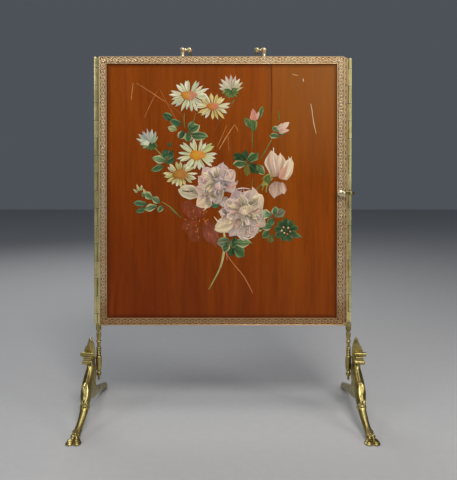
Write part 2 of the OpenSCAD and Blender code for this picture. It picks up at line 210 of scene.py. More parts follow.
class Tree:
    def __init__(self, name):
        self.mat = bpy.data.materials.new(name)
        self.mat.use_nodes = True
        self.nt = self.mat.node_tree
        self.b = self.nt.nodes["Principled BSDF"]
        self.tc = self.node("ShaderNodeTexCoord")

    def node(self, kind, **props):
        n = self.nt.nodes.new(kind)
        for k, v in props.items():
            setattr(n, k, v)
        return n

    def link(self, a, b):
        self.nt.links.new(a, b)

    def mapped(self, scale=(1, 1, 1), loc=(0, 0, 0), rot=(0, 0, 0)):
        m = self.node("ShaderNodeMapping")
        m.inputs["Scale"].default_value = scale
        m.inputs["Location"].default_value = loc
        m.inputs["Rotation"].default_value = rot
        self.link(self.tc.outputs["Object"], m.inputs["Vector"])
        return m.outputs["Vector"]

    def noise(self, vec, scale, detail=3.0, rough=0.55, dist=0.0):
        n = self.node("ShaderNodeTexNoise")
        n.inputs["Scale"].default_value = scale
        n.inputs["Detail"].default_value = detail
        n.inputs["Roughness"].default_value = rough
        n.inputs["Distortion"].default_value = dist
        self.link(vec, n.inputs["Vector"])
        return n.outputs["Fac"]

    def ramp(self, fac, stops):
        r = self.node("ShaderNodeValToRGB")
        els = r.color_ramp.elements
        while len(els) > len(stops):
            els.remove(els[-1])
        while len(els) < len(stops):
            els.new(0.5)
        for e, (p, c) in zip(els, stops):
            e.position = p
            e.color = (c, c, c, 1) if isinstance(c, (int, float)) else (*c, 1)
        self.link(fac, r.inputs["Fac"])
        return r.outputs["Color"]

    def mix(self, fac, a, b, mode="MIX"):
        m = self.node("ShaderNodeMix", data_type="RGBA", blend_type=mode)
        if isinstance(fac, (int, float)):
            m.inputs[0].default_value = fac
        else:
            self.link(fac, m.inputs[0])
        for sock, v in ((m.inputs[6], a), (m.inputs[7], b)):
            if isinstance(v, tuple):
                sock.default_value = (*v, 1)
            else:
                self.link(v, sock)
        return m.outputs[2]

    def math(self, op, a, b=0.0, clamp=False):
        m = self.node("ShaderNodeMath", operation=op, use_clamp=clamp)
        for sock, v in ((m.inputs[0], a), (m.inputs[1], b)):
            if isinstance(v, (int, float)):
                sock.default_value = v
            else:
                self.link(v, sock)
        return m.outputs[0]

    def remap(self, v, a, b, c, d):
        m = self.node("ShaderNodeMapRange")
        m.inputs["From Min"].default_value = a
        m.inputs["From Max"].default_value = b
        m.inputs["To Min"].default_value = c
        m.inputs["To Max"].default_value = d
        self.link(v, m.inputs["Value"])
        return m.outputs["Result"]

    def bump(self, height, strength, distance):
        n = self.node("ShaderNodeBump")
        n.inputs["Strength"].default_value = strength
        n.inputs["Distance"].default_value = distance
        self.link(height, n.inputs["Height"])
        self.link(n.outputs["Normal"], self.b.inputs["Normal"])

    def set(self, **kw):
        for k, v in kw.items():
            self.b.inputs[k.replace("_", " ")].default_value = (*v, 1) if isinstance(v, tuple) else v


def brass_material(name, light, mid, dark, rough=(0.2, 0.4), point=True, relief=False, bump=0.15, metal=1.0, speck=0.35):
    t = Tree(name)
    vec = t.mapped()
    blotch = t.noise(vec, 38, 4, 0.6, 0.4)
    col = t.mix(t.ramp(blotch, [(0.32, 0.0), (0.62, 1.0)]), mid, light)
    fine = t.noise(vec, 420, 3, 0.6)
    col = t.mix(t.ramp(fine, [(0.55, 0.0), (0.78, speck)]), col, dark)
    if relief:
        at = t.node("ShaderNodeAttribute", attribute_name="relief")
        low = t.ramp(at.outputs["Fac"], [(0.10, 1.0), (0.38, 0.66), (0.66, 0.0)])
        col = t.mix(low, col, dark)
        # painted shade: the bottom rail and the foot of the stiles are painted darker, as if less lit than the top
        sep = t.node("ShaderNodeSeparateXYZ")
        t.link(t.tc.outputs["Object"], sep.inputs["Vector"])
        bottom_rail_painted_shade = t.remap(sep.outputs["Z"], 0.212, 0.245, 1.0, 0.0)
        col = t.mix(bottom_rail_painted_shade, col, t.mix(1.0, col, (0.72, 0.6, 0.48), "MULTIPLY"))
    elif point:
        g = t.node("ShaderNodeNewGeometry")
        low = t.ramp(g.outputs["Pointiness"], [(0.43, 0.9), (0.492, 0.0)])
        col = t.mix(low, col, dark)
        high = t.ramp(g.outputs["Pointiness"], [(0.52, 0.0), (0.6, 0.5)])
        col = t.mix(high, col, light)
    t.link(col, t.b.inputs["Base Color"])
    t.set(Metallic=metal)
    r = t.remap(t.noise(vec, 90, 4, 0.65), 0.3, 0.75, rough[0], rough[1])
    t.link(r, t.b.inputs["Roughness"])
    scratch = t.noise(t.mapped(scale=(1, 1, 0.08)), 900, 2, 0.5)
    mixed = t.math("ADD", t.math("MULTIPLY", scratch, 0.5), t.noise(vec, 260, 3, 0.6))
    t.bump(mixed, bump, 0.0006)
    return t.mat


BRASS = brass_material("aged_brass", (0.57, 0.46, 0.185), (0.25, 0.195, 0.05), (0.07, 0.05, 0.01), (0.28, 0.38), bump=0.06, speck=0.25)
# a paler brass for the knobs and the handle: partly a lighter tone of metal, partly a painted highlight
PALE = brass_material("pale_brass", (0.80, 0.67, 0.44), (0.58, 0.46, 0.28), (0.12, 0.085, 0.03), (0.26, 0.38), bump=0.05, metal=0.85, speck=0.2)
def barrel_material():
    m = brass_material("barrel_brass", (0.98, 0.88, 0.47), (0.70, 0.61, 0.27), (0.28, 0.22, 0.07), (0.28, 0.36), point=False, bump=0.02, metal=0.85, speck=0.2)
    t = Tree.__new__(Tree)
    t.mat, t.nt = m, m.node_tree
    t.b = t.nt.nodes["Principled BSDF"]
    t.tc = t.node("ShaderNodeTexCoord")
    sep = t.node("ShaderNodeSeparateXYZ")
    t.link(t.tc.outputs["Object"], sep.inputs["Vector"])
    place = t.math("DIVIDE", t.math("SUBTRACT", sep.outputs["Z"], 0.2022 - 0.01745), 0.0349)
    fr = t.math("ABSOLUTE", t.math("SUBTRACT", t.math("FRACT", place), 0.5))
    line = t.remap(fr, 0.008, 0.028, 0.5, 0.0)
    # painted highlight: a bright band is painted beside each knuckle joint, where its rounded edge would catch the
    # light
    painted_knuckle_highlight = t.math("MULTIPLY", t.remap(fr, 0.03, 0.05, 0.0, 1.0), t.remap(fr, 0.05, 0.10, 0.5, 0.0))
    old = t.b.inputs["Base Color"].links[0].from_socket
    knuckle = t.math("FRACT", t.math("MULTIPLY", t.math("FLOOR", t.math("ADD", place, 0.5)), 0.381))
    col = t.mix(t.math("MULTIPLY", knuckle, 0.32), old, t.mix(1.0, old, (0.62, 0.62, 0.58), "MULTIPLY"))
    col = t.mix(painted_knuckle_highlight, col, (0.95, 0.9, 0.62))
    col = t.mix(line, col, (0.06, 0.045, 0.015))
    t.link(col, t.b.inputs["Base Color"])
    return m


BARREL = barrel_material()
BORDER = brass_material("embossed_brass", (1.0, 0.74, 0.44), (0.90, 0.595, 0.31), (0.08, 0.035, 0.011), (0.34, 0.5), relief=True, bump=0.1, metal=0.68)
STEEL = brass_material("dull_steel", (0.5, 0.48, 0.44), (0.36, 0.34, 0.3), (0.1, 0.09, 0.08), (0.3, 0.5), point=False)


def mahogany(name, joint_x=None, gain=1.0):
    t = Tree(name)
    tall = t.mapped(scale=(1, 1, 0.075))
    band = t.noise(t.mapped(scale=(1, 1, 0.07)), 11, 3, 0.5, 0.6)
    grain = t.noise(tall, 70, 7, 0.68, 0.35)
    fine = t.noise(t.mapped(scale=(1, 1, 0.035)), 640, 4, 0.65)
    g = gain
    base = t.ramp(band, [(0.3, (0.20 * g, 0.027 * g, 0.0008 * g)), (0.5, (0.285 * g, 0.048 * g, 0.0012 * g)), (0.7, (0.35 * g, 0.072 * g, 0.0020 * g))])
    col = t.mix(t.ramp(grain, [(0.36, 0.6), (0.58, 0.0)]), base, (0.10 * g, 0.0125 * g, 0.0008 * g))
    col = t.mix(t.ramp(fine, [(0.5, 0.0), (0.74, 0.36)]), col, (0.38 * g, 0.098 * g, 0.006 * g))
    wide = t.noise(t.mapped(scale=(1, 1, 0.35)), 4.2, 2, 0.5, 0.3)
    col = t.mix(t.ramp(wide, [(0.38, 0.28), (0.6, 0.0)]), col, (0.165 * g, 0.019 * g, 0.001 * g))
    sep = t.node("ShaderNodeSeparateXYZ")
    t.link(t.tc.outputs["Object"], sep.inputs["Vector"])
    # painted light and shade: the upper part and the right side are painted lighter and yellower, as where the light
    # falls, and the foot redder and darker
    up = t.remap(sep.outputs["Z"], 0.2, 0.7, 0.0, 1.0)
    rt = t.remap(sep.outputs["X"], -0.23, 0.23, 0.0, 1.0)
    painted_light_gradient = t.math("ADD", t.math("MULTIPLY", up, 0.75), t.math("MULTIPLY", rt, 0.55), clamp=True)
    col = t.mix(painted_light_gradient, t.mix(0.34, col, (0.135 * g, 0.013 * g, 0.0006 * g)), t.mix(0.26, col, (0.42 * g, 0.12 * g, 0.010 * g)))
    if joint_x is not None:
        # painted reflection: a lighter, yellower sheen is painted towards the upper right corner; painted shade: the
        # board is painted darker along the border, in the frame's shadow
        cx = t.math("MULTIPLY", t.math("SUBTRACT", sep.outputs["X"], 0.235), 5.5)
        cz = t.math("MULTIPLY", t.math("SUBTRACT", sep.outputs["Z"], 0.71), 4.0)
        painted_sheen_reach = t.math("POWER", t.math("ADD", t.math("MULTIPLY", cx, cx), t.math("MULTIPLY", cz, cz)), 0.5)
        col = t.mix(t.remap(painted_sheen_reach, 0.1, 1.0, 0.42, 0.0), col, (0.42, 0.19, 0.055))
        # painted shade: the board is darkened within a few millimetres of the frame, where the frame's lip shades it
        ex = t.math("MINIMUM", t.math("ADD", sep.outputs["X"], 0.2299), t.math("SUBTRACT", 0.2236, sep.outputs["X"]))
        ez = t.math("MINIMUM", t.math("SUBTRACT", sep.outputs["Z"], 0.1956), t.math("SUBTRACT", 0.6966, sep.outputs["Z"]))
        edge = t.math("ADD", t.math("MINIMUM", ex, ez), t.math("MULTIPLY", t.noise(t.mapped(), 60, 2), -0.003))
        col = t.mix(t.remap(edge, 0.0, 0.0075, 0.62, 0.0), col, (0.045, 0.008, 0.001))
        away = t.math("ABSOLUTE", t.math("SUBTRACT", t.math("ADD", sep.outputs["X"], t.math("MULTIPLY", t.noise(t.mapped(scale=(0, 0, 1)), 14, 2), 0.003)), joint_x + 0.0015))
        line = t.remap(away, 0.0, 0.0026, 1.0, 0.0)
        fade = t.remap(sep.outputs["Z"], 0.48, 0.66, 0.0, 0.62)
        col = t.mix(t.math("MULTIPLY", line, fade, clamp=True), col, (0.045, 0.012, 0.004))
        # the field right of the joint comes from another board, a little browner
        side = t.remap(sep.outputs["X"], joint_x, joint_x + 0.001, 0.0, 0.2)
        col = t.mix(t.math("MULTIPLY", side, t.remap(sep.outputs["Z"], 0.45, 0.6, 0.0, 1.0), clamp=True), col, (0.26, 0.095, 0.012))
    t.link(col, t.b.inputs["Base Color"])
    r = t.remap(t.noise(t.mapped(), 30, 4, 0.6), 0.3, 0.7, 0.3, 0.46)
    t.link(r, t.b.inputs["Roughness"])
    t.set(Coat_Weight=0.08, Coat_Roughness=0.18)
    t.b.inputs["Specular IOR Level"].default_value = 0.1
    t.bump(t.math("ADD", t.math("MULTIPLY", grain, 0.5), fine), 0.12, 0.0004)
    return t.mat


def px(x, y):
    """A place on the front board, from a 457 by 480 plan of the leaf to X and Z in millimetres."""
    return -229.9 + (x - 106.5) * 1.9658, 696.6 - (y - 63.4) * 1.9678


WOOD_FRONT = mahogany("mahogany_painted_board", joint_x=px(271.5, 0)[0] * MM)
WOOD = mahogany("mahogany_plain_board", gain=0.9)


def paint_material():
    t = Tree("oil_paint")
    a = t.node("ShaderNodeAttribute", attribute_name="Col")
    vec = t.mapped()
    n = t.noise(vec, 700, 3, 0.6)
    col = t.mix(t.ramp(n, [(0.35, 0.22), (0.6, 0.0)]), a.outputs["Color"], t.mix(0.5, a.outputs["Color"], (0.16, 0.10, 0.06), "MULTIPLY"))
    col = t.mix(t.ramp(t.noise(vec, 160, 3, 0.6), [(0.55, 0.0), (0.75, 0.18)]), col, (0.62, 0.58, 0.44))
    t.link(col, t.b.inputs["Base Color"])
    r = t.remap(t.noise(vec, 240, 3, 0.6), 0.3, 0.7, 0.34, 0.6)
    t.link(r, t.b.inputs["Roughness"])
    t.set(Coat_Weight=0.08, Coat_Roughness=0.3)
    t.b.inputs["Specular IOR Level"].default_value = 0.2
    t.bump(n, 0.35, 0.0004)
    return t.mat


PAINT = paint_material()


def glaze_material():
    """Thin see-through paint: the board shows in it, so it is mixed to the wood's colour."""
    t = Tree("thin_glaze")
    a = t.node("ShaderNodeAttribute", attribute_name="Col")
    vec = t.mapped(scale=(1, 1, 0.3))
    n = t.noise(vec, 180, 4, 0.65)
    col = t.mix(t.ramp(n, [(0.42, 0.75), (0.66, 0.0)]), a.outputs["Color"], (0.2, 0.045, 0.008))
    t.link(col, t.b.inputs["Base Color"])
    r = t.remap(n, 0.3, 0.7, 0.32, 0.5)
    t.link(r, t.b.inputs["Roughness"])
    t.set(Coat_Weight=0.12, Coat_Roughness=0.2)
    t.b.inputs["Specular IOR Level"].default_value = 0.18
    t.bump(n, 0.2, 0.0003)
    return t.mat


GLAZE = glaze_material()


# --------------------------------------------------------- embossed borders ----

RAIL_W, LEAF_T, SHEET, BOARD_T = 14.4, 12.0, 1.2, 7.0


def emboss(s, v):
    """Height 0 to 1 of the chased border at distance s along it and v across it from the inner edge."""
    P = 12.2
    vc = 7.2
    c = vc + 2.35 * np.sin(2 * math.pi * s / P)
    vine = np.exp(-((v - c) / 0.66) ** 2)
    h = vine * 0.95
    k = np.round((s - P / 4) / (P / 2))
    for dk in (-1, 0, 1):
        kk = k + dk
        sc = P / 4 + kk * P / 2
        side = np.where(np.mod(kk, 2) == 0, -1.0, 1.0)
        vv = vc + side * 1.5
        ds, dv = s - sc, v - vv
        rho = np.hypot(ds, dv)
        phi = np.arctan2(dv * side, ds)
        curl = np.exp(-((rho - 2.3) / 0.5) ** 2) * (0.45 + 0.55 * (0.5 + 0.5 * np.cos(phi - 0.6)))
        boss = np.exp(-(rho / 0.95) ** 2)
        leaf = np.exp(-((rho - 3.9 - 0.7 * np.cos(4 * phi)) / 0.5) ** 2) * 0.75 * (0.5 - 0.5 * np.cos(phi + 0.4))
        h = np.maximum(h, np.maximum(curl, np.maximum(boss * 0.95, leaf)))
    # leaf tips in the hollows of the wave
    for side in (-1, 1):
        sc = P * 0.5 * np.round(s / (P * 0.5))
        lip = np.exp(-((s - sc) / 0.95) ** 2 - ((v - vc - side * 4.3) / 1.0) ** 2)
        h = np.maximum(h, 0.8 * lip)
        sc = P * 0.5 * (np.floor(s / (P * 0.5)) + 0.5)
        lip = np.exp(-((s - sc) / 0.8) ** 2 - ((v - vc - side * 4.9) / 0.6) ** 2)
        h = np.maximum(h, 0.65 * lip)
    ground = 0.10 + 0.25 * value_noise(s * 1.35, v * 1.35, 3)
    h = np.maximum(h, ground)
    band = np.clip((v - 1.3) / 0.4, 0, 1) * np.clip((13.2 - v) / 0.4, 0, 1)
    h = h * band
    inner = np.clip(1.06 - np.abs((v - 0.65) / 0.7) ** 3, 0, 1)
    outer = np.clip(1.06 - np.abs((v - 13.8) / 0.7) ** 3, 0, 1)
    h = np.maximum(h, np.where(v < 1.35, inner, 0))
    h = np.maximum(h, np.where(v > 13.1, outer, 0))
    return np.clip(h, 0, 1)


def face_plate(L, step_s, step_v, r_corner):
    """Embossed flange as a closed plate in (s, v, w): w = 0 at its top, falling to -SHEET inside."""
    nv = int(round(RAIL_W / step_v)) + 1
    ns = int(round(L / step_s)) + 1
    v = np.linspace(0, RAIL_W, nv)
    t = np.linspace(0, 1, ns)
    V = np.repeat(v[:, None], ns, 1)
    S = (RAIL_W - V) + (L - 2 * (RAIL_W - V)) * t[None, :]
    mid = L / 2
    h = emboss(np.abs(S - mid), V)
    top = -0.8 * (1 - h)
    # the mitre is a fine groove
    cut = np.minimum(S - (RAIL_W - V), (L - (RAIL_W - V)) - S)
    top = np.where(cut < 0.35, np.minimum(top, -0.35), top)
    Vr = V.copy()
    Sr = S.copy()
    # outer corners of the leaf are rounded
    for flip in (0, 1):
        ds = np.where(flip == 0, S, L - S)
        dv = RAIL_W - V
        inside = (ds < r_corner) & (dv < r_corner)
        d = np.hypot(r_corner - ds, r_corner - dv)
        over = inside & (d > r_corner)
        k = np.where(over, r_corner / np.maximum(d, 1e-6), 1)
        nd = r_corner - (r_corner - ds) * k
        Vr = np.where(over, RAIL_W - (r_corner - (r_corner - dv) * k), Vr)
        Sr = np.where(over, np.where(flip == 0, nd, L - nd), Sr)
    up = np.stack([Sr.ravel(), Vr.ravel(), top.ravel()], 1)
    lo = np.stack([Sr.ravel(), Vr.ravel(), np.full(up.shape[0], -SHEET)], 1)
    n = len(up)
    f = grid_faces(nv, ns)
    bottom = f[:, ::-1] + n
    rim = []
    idx = np.arange(n).reshape(nv, ns)
    loop = np.concatenate([idx[0, :-1], idx[:-1, -1], idx[-1, :0:-1], idx[:0:-1, 0]])
    nxt = np.roll(loop, -1)
    rim = np.stack([nxt, loop, loop + n, nxt + n], 1)
    faces = np.concatenate([f, bottom, rim])
    rel = np.concatenate([h.ravel(), np.full(n, 0.5)])
    return np.concatenate([up, lo]), faces, rel


def strip_box(L, v0, v1, w0, w1, cut):
    """A straight bar between w0 and w1 with mitred ends."""
    pts = []
    for w in (w0, w1):
        for v in (v0, v1):
            m = (RAIL_W - v) if cut else 0
            pts += [[m, v, w], [L - m, v, w]]
    f = [[0, 1, 3, 2], [4, 6, 7, 5], [0, 4, 5, 1], [2, 3, 7, 6], [0, 2, 6, 4], [1, 5, 7, 3]]
    return np.array(pts, dtype=float), f


def rail(name, node, side, x0, x1, z0, z1, y, body, front_fine, back_fine, turned=False, steps=((0.6, 0.5), (1.3, 0.8))):
    L = (x1 - x0) if side in ("top", "bottom") else (z1 - z0)
    P = Parts()
    rel = []
    for w_sign, fine in ((-1, front_fine), (1, back_fine)):
        v, f, h = face_plate(L, *(steps[0] if fine else steps[1]), r_corner=3.0)
        depth = w_sign * (LEAF_T / 2 + v[:, 2])
        pts = np.stack([v[:, 0], v[:, 1], depth], 1)
        if w_sign > 0:
            f = f[:, ::-1]
        P.add(pts, f)
        rel.append(h)
    b = BOARD_T / 2
    h = LEAF_T / 2 - SHEET
    for (v0, v1, w0, w1) in ((RAIL_W - SHEET, RAIL_W - 0.02, -h, h), (0.02, SHEET, -h, -b), (0.02, SHEET, b, h)):
        v, f = strip_box(L, v0, v1, w0, w1, True)
        if v1 > 10:
            r = 3.0
            v[:, 0] = np.where(v[:, 0] < L / 2, np.maximum(v[:, 0], r * 0.3), np.minimum(v[:, 0], L - r * 0.3))
        P.add(v, f)
        rel.append(np.full(len(v), 0.62))
    q = P.verts()
    s, v, w = q[:, 0], q[:, 1], q[:, 2]
    flip = False
    if side == "top":
        out = np.stack([x0 + s, y + w, z1 - RAIL_W + v], 1)
    elif side == "bottom":
        out = np.stack([x0 + s, y + w, z0 + RAIL_W - v], 1); flip = True
    elif side == "left":
        out = np.stack([x0 + RAIL_W - v, y + w, z0 + s], 1)
    else:
        out = np.stack([x1 - RAIL_W + v, y + w, z0 + s], 1); flip = True
    if turned:
        out = out * np.array([-1, -1, 1])
    ob = mesh_object(name, out, P.f, BORDER, body, smooth=True, attrs={"relief": np.concatenate(rel)})
    me = ob.data
    import bmesh
    bm = bmesh.new()
    bm.from_mesh(me)
    bmesh.ops.recalc_face_normals(bm, faces=bm.faces)
    bm.to_mesh(me)
    bm.free()
    me.polygons.foreach_set("use_smooth", np.ones(len(me.polygons), dtype=bool))
    if hasattr(me, "set_sharp_from_angle"):
        me.set_sharp_from_angle(angle=math.radians(50))
    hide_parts(node)
    return ob


FX, ZB, ZT, WX0, WX1, WY, WZB = 246.0, 181.0, 711.0, -244.3, 238.0, -13.0, 181.2
for sd, nm in (("top", "top_rail"), ("bottom", "bottom_rail"), ("left", "hinge_stile"), ("right", "free_stile")):
    rail("embossed_left_wing_" + nm, "left_wing_" + nm, sd, WX0, WX1, WZB, ZT, WY, "left_wing", True, False)
    rail("embossed_right_wing_" + nm, "right_wing_" + nm, sd, WX0, WX1, WZB, ZT, WY, "right_wing", True, False, turned=True)
for sd, nm in (("top", "top_rail"), ("bottom", "bottom_rail"), ("left", "left_stile"), ("right", "right_stile")):
    rail("embossed_centre_" + nm, "centre_" + nm, sd, -FX, FX, ZB, ZT, 0.0, "stand", sd == "right", False)

NODES["left_wing_panel"].data.materials.clear()
NODES["left_wing_panel"].data.materials.append(WOOD_FRONT)
for n in ("centre_panel", "right_wing_panel"):
    NODES[n].data.materials.clear()
    NODES[n].data.materials.append(WOOD)
for n, o in NODES.items():
    if "panel" in n:
        continue
    m = BARREL if ("hinge" in n) else STEEL if n == "leg_screws" else BRASS
    o.data.materials.clear()
    o.data.materials.append(m)


# ------------------------------------------------------------ turned posts ----

def post_profile():
    top = 181.0
    p = [(0.0, 177.0), (4.6, 177.0)]

    def add(*q):
        p.extend(q)
    add((5.3, 176.2), (5.3, 173.6), (4.6, 172.9), (4.6, 172.6), (5.3, 171.9), (5.3, 167.4), (5.0, 166.2), (4.2, 165.4), (3.3, 164.8))
    for k in range(13):
        u = k / 12
        add((3.2 + 1.75 * math.sin(math.pi * u ** 0.8), 164.0 - 17.0 * u))
    add((3.3, 146.6), (4.3, 146.2), (5.05, 145.2), (5.1, 144.2), (4.7, 143.2), (3.6, 142.6), (3.9, 141.6), (4.0, 140.8), (3.5, 139.4), (3.25, 136.6), (3.3, 134.2))
    for k in range(5):
        z = 133.0 - k * 3.5
        add((3.7, z - 0.1), (4.35, z - 0.3), (4.85, z - 0.9), (4.95, z - 1.45), (4.85, z - 2.0), (4.35, z - 2.6), (3.7, z - 2.8))
    add((3.6, 115.4), (4.3, 114.9), (5.1, 114.2), (5.65, 113.0), (5.8, 111.4))
    for k in range(10):
        u = k / 9
        add((5.8 - 0.7 * u ** 2 + 0.1 * math.sin(math.pi * u), 110.6 - 22.6 * u))
    add((4.9, 86.8), (4.2, 85.8), (3.1, 85.0), (2.8, 84.2), (3.2, 83.6))
    for k in range(11):
        a = math.pi * k / 10
        add((1.7 + 3.2 * math.sin(a), 78.6 + 4.9 * math.cos(a)))
    add((1.9, 73.2), (1.9, 72.4), (2.6, 71.4), (2.75, 69.8), (2.5, 68.2), (1.4, 66.4), (0.0, 65.8))
    out = [p[0]]
    for r, z in p[1:]:
        z = min(z, out[-1][1] - 1e-3)
        out.append((r, z))
    return out


for side, name in ((-1, "left_post"), (1, "right_post")):
    lo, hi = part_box(name)
    v, f = lathe(post_profile(), 56, centre=(side * 250.5, 0, 0))
    ob = mesh_object("turned_" + name, v, f, BRASS, "stand")
    ob.data.set_sharp_from_angle(angle=math.radians(48))
    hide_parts(name)


# -------------------------------------------------------------- cast legs ----

LEG = [[263.6, -12, 127, 5.5, 5, 0], [263.6, -12, 118, 7.2, 8, 0], [263.2, -14, 108, 7.8, 10, 0], [262.4, -17, 98, 8.2, 12, -4],
       [262.8, -23, 88, 9.2, 14.5, -14], [263.2, -31, 78, 10.2, 17, -24], [263, -41, 68.5, 10.8, 18, -34], [262.2, -52, 59.5, 10.5, 16, -42],
       [261, -63, 51, 9.4, 12.5, -46], [260.3, -70.5, 44.5, 8.4, 10, -47], [260, -73.5, 42, 9.0, 9.6, -47], [260.1, -76, 40, 8.9, 9, -47],
       [260.2, -78, 38, 7.9, 7.8, -47], [260.6, -84, 32.5, 7.6, 7.2, -48], [261.6, -93, 25, 7.1, 6.8, -50], [262.8, -102, 18.8, 6.8, 6.2, -54],
       [264, -110, 14.2, 7, 6, -58], [265, -117, 10.6, 8, 6.4, -64], [265.7, -122, 8.4, 8.8, 6.6, -70]]
REAR = [[263.5, -30, 62, 5, 12, 60], [263.8, -14, 51, 5.6, 13.5, 64], [264.2, 2, 42, 5.8, 12.8, 70], [264.8, 20, 35.5, 6, 11.2, 76],
        [265.4, 40, 30.5, 6, 9.6, 78], [266, 62, 25, 6, 8.6, 77], [266.6, 84, 19, 6, 7.8, 76], [267.2, 104, 13.6, 6.4, 7.2, 76],
        [267.8, 120, 8.8, 7, 6.8, 80], [268, 130, 6.4, 7.2, 6.4, 88], [268, 134.5, 6, 5.4, 5.2, 90], [268, 136, 5.8, 3, 3, 90]]


def leg_mesh(name, shells, voxel, smooth_n, box_node, carve=None):
    """Shells become one watertight casting."""
    P = Parts()
    for v, f in shells:
        P.add(v, f)
    me = bpy.data.meshes.new(name + "_work")
    me.from_pydata((P.verts() * MM).tolist(), [], P.f)
    ob = bpy.data.objects.new(name + "_work", me)
    bpy.context.scene.collection.objects.link(ob)
    import bmesh
    bm = bmesh.new()
    bm.from_mesh(me)
    bmesh.ops.recalc_face_normals(bm, faces=bm.faces)
    bm.to_mesh(me)
    bm.free()
    m = ob.modifiers.new("cast", "REMESH")
    m.mode = "VOXEL"
    m.voxel_size = voxel * MM
    s = ob.modifiers.new("soft", "SMOOTH")
    s.iterations = smooth_n
    s.factor = 0.5
    dg = bpy.context.evaluated_depsgraph_get()
    ev = ob.evaluated_get(dg).to_mesh()
    n = len(ev.vertices)
    v = np.empty(n * 3, np.float32)
    ev.vertices.foreach_get("co", v)
    v = v.reshape(-1, 3).astype(float) / MM
    nr = np.empty(n * 3, np.float32)
    ev.vertices.foreach_get("normal", nr)
    nr = nr.reshape(-1, 3).astype(float)
    f = [list(p.vertices) for p in ev.polygons]
    ob.evaluated_get(dg).to_mesh_clear()
    bpy.data.objects.remove(ob)
    bpy.data.meshes.remove(me)
    if carve is not None:
        v = v + nr * carve(v, nr)[:, None]
    lo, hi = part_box(box_node)
    lo, hi = np.array(lo) / MM, np.array(hi) / MM
    v = np.clip(v, lo + 0.01, hi - 0.01)
    # the post stands clear of the casting
    dx, dy = v[:, 0] - 250.5, v[:, 1]
    r = np.hypot(dx, dy)
    near = (r < 5.86) & (v[:, 2] > 50) & (v[:, 2] < 140)
    k = np.where(near, 5.86 / np.maximum(r, 1e-6), 1.0)
    v[:, 0], v[:, 1] = 250.5 + dx * k, dy * k
    return v, f


def curve_frame(v, line):
    """Nearest place on a leg's line for each vertex: fraction, side offset in X, depth offset."""
    s = smooth_profile(line, 8)
    d = ((v[:, None, 1:3] - s[None, :, 1:3]) ** 2).sum(2)
    k = d.argmin(1)
    c = s[k]
    lean = np.radians(c[:, 5])
    dx = (v[:, 0] - c[:, 0]) / np.maximum(c[:, 3], 1)
    dy, dz = v[:, 1] - c[:, 1], v[:, 2] - c[:, 2]
    w = (dy * np.cos(lean) + dz * np.sin(lean)) / np.maximum(c[:, 4], 1)
    return k / (len(s) - 1), dx, w, c


def bump1(x, c, w):
    return np.exp(-((x - c) / w) ** 2)


def carve_leg(v, nr):
    x, y, z = v.T
    u, dx, w, c = curve_frame(v, LEG)
    d = np.zeros(len(v))
    front = np.clip(-nr[:, 1] * 1.4 + nr[:, 2] * 0.5 + 0.1, 0, 1)
    # haunch: an almond between two ridges that meet above and below it
    t = np.clip((81 - z) / 34, 0, 1)
    hw = 7.4 * np.sin(math.pi * t) ** 0.75
    xc = 263.2 + 0.4 * np.sin(math.pi * t)
    win = front * (y < -24) * np.clip((82 - z) / 4, 0, 1) * np.clip((z - 46) / 4, 0, 1)
    d += 1.1 * win * np.exp(-((np.abs(x - xc) - hw) / (1.1 + 0.9 * np.sin(math.pi * t))) ** 2)
    d -= 1.0 * win * np.exp(-((x - xc) / (0.42 * hw + 0.8)) ** 2) * np.clip(hw / 3, 0, 1)
    d += 0.7 * win * bump1(x, 263.4, 1.8) * bump1(z, 60, 5)
    # folds on the neck running down into the haunch
    nk = np.clip((102 - z) / 8, 0, 1) * np.clip((z - 78) / 6, 0, 1)
    xn = 262.6 + (z - 90) * 0.02
    d -= 0.5 * front * nk * bump1(x, xn - 2.6, 1.4)
    d += 0.3 * front * nk * bump1(x, xn + 1.0, 2.2)
    d += 0.8 * front * nk * bump1(x, 255.8, 1.2)
    # scalloped fringe at the top of the shin
    fr = bump1(u, 0.548, 0.02)
    d += fr * (0.5 + 0.65 * np.cos(7 * np.arctan2(dx, -w)))
    d -= bump1(u, 0.585, 0.012) * 0.6
    # tufts at the ankle
    an = np.clip((z - 7) / 4, 0, 1) * np.clip((22 - z) / 6, 0, 1) * (y < -96)
    d += an * 0.5 * np.cos(8 * np.arctan2(dx, -w) + 0.4) * np.clip(1 - np.abs(nr[:, 0]) * 0.3, 0, 1)
    # cleft and rim of the foot
    hoof = (y < -117) & (z < 12)
    d -= np.where(hoof, 1.0 * bump1(x, 266.2, 0.9) * np.clip(-nr[:, 1] + nr[:, 2] * 0.8, 0, 1), 0)
    d -= np.where(hoof, 0.7 * bump1(z, 4.6, 0.9) * np.clip(-nr[:, 1] + np.abs(nr[:, 0]), 0, 1), 0)
    # crest: a raised midrib and side folds
    cz = np.clip((z - 132) / 5, 0, 1)
    mid = 260.2 + (160 - z) * 0.075
    d += cz * 0.7 * front * bump1(x, mid, 0.9)
    d -= cz * 0.8 * front * (bump1(x, mid - 2.6 - (150 - z) * 0.05, 0.8) + bump1(x, mid + 2.6 + (150 - z) * 0.05, 0.8))
    d += 0.05 * (value_noise(x * 0.5 + 7, (y + z) * 0.5 + 3, 5) - 0.5)
    return d


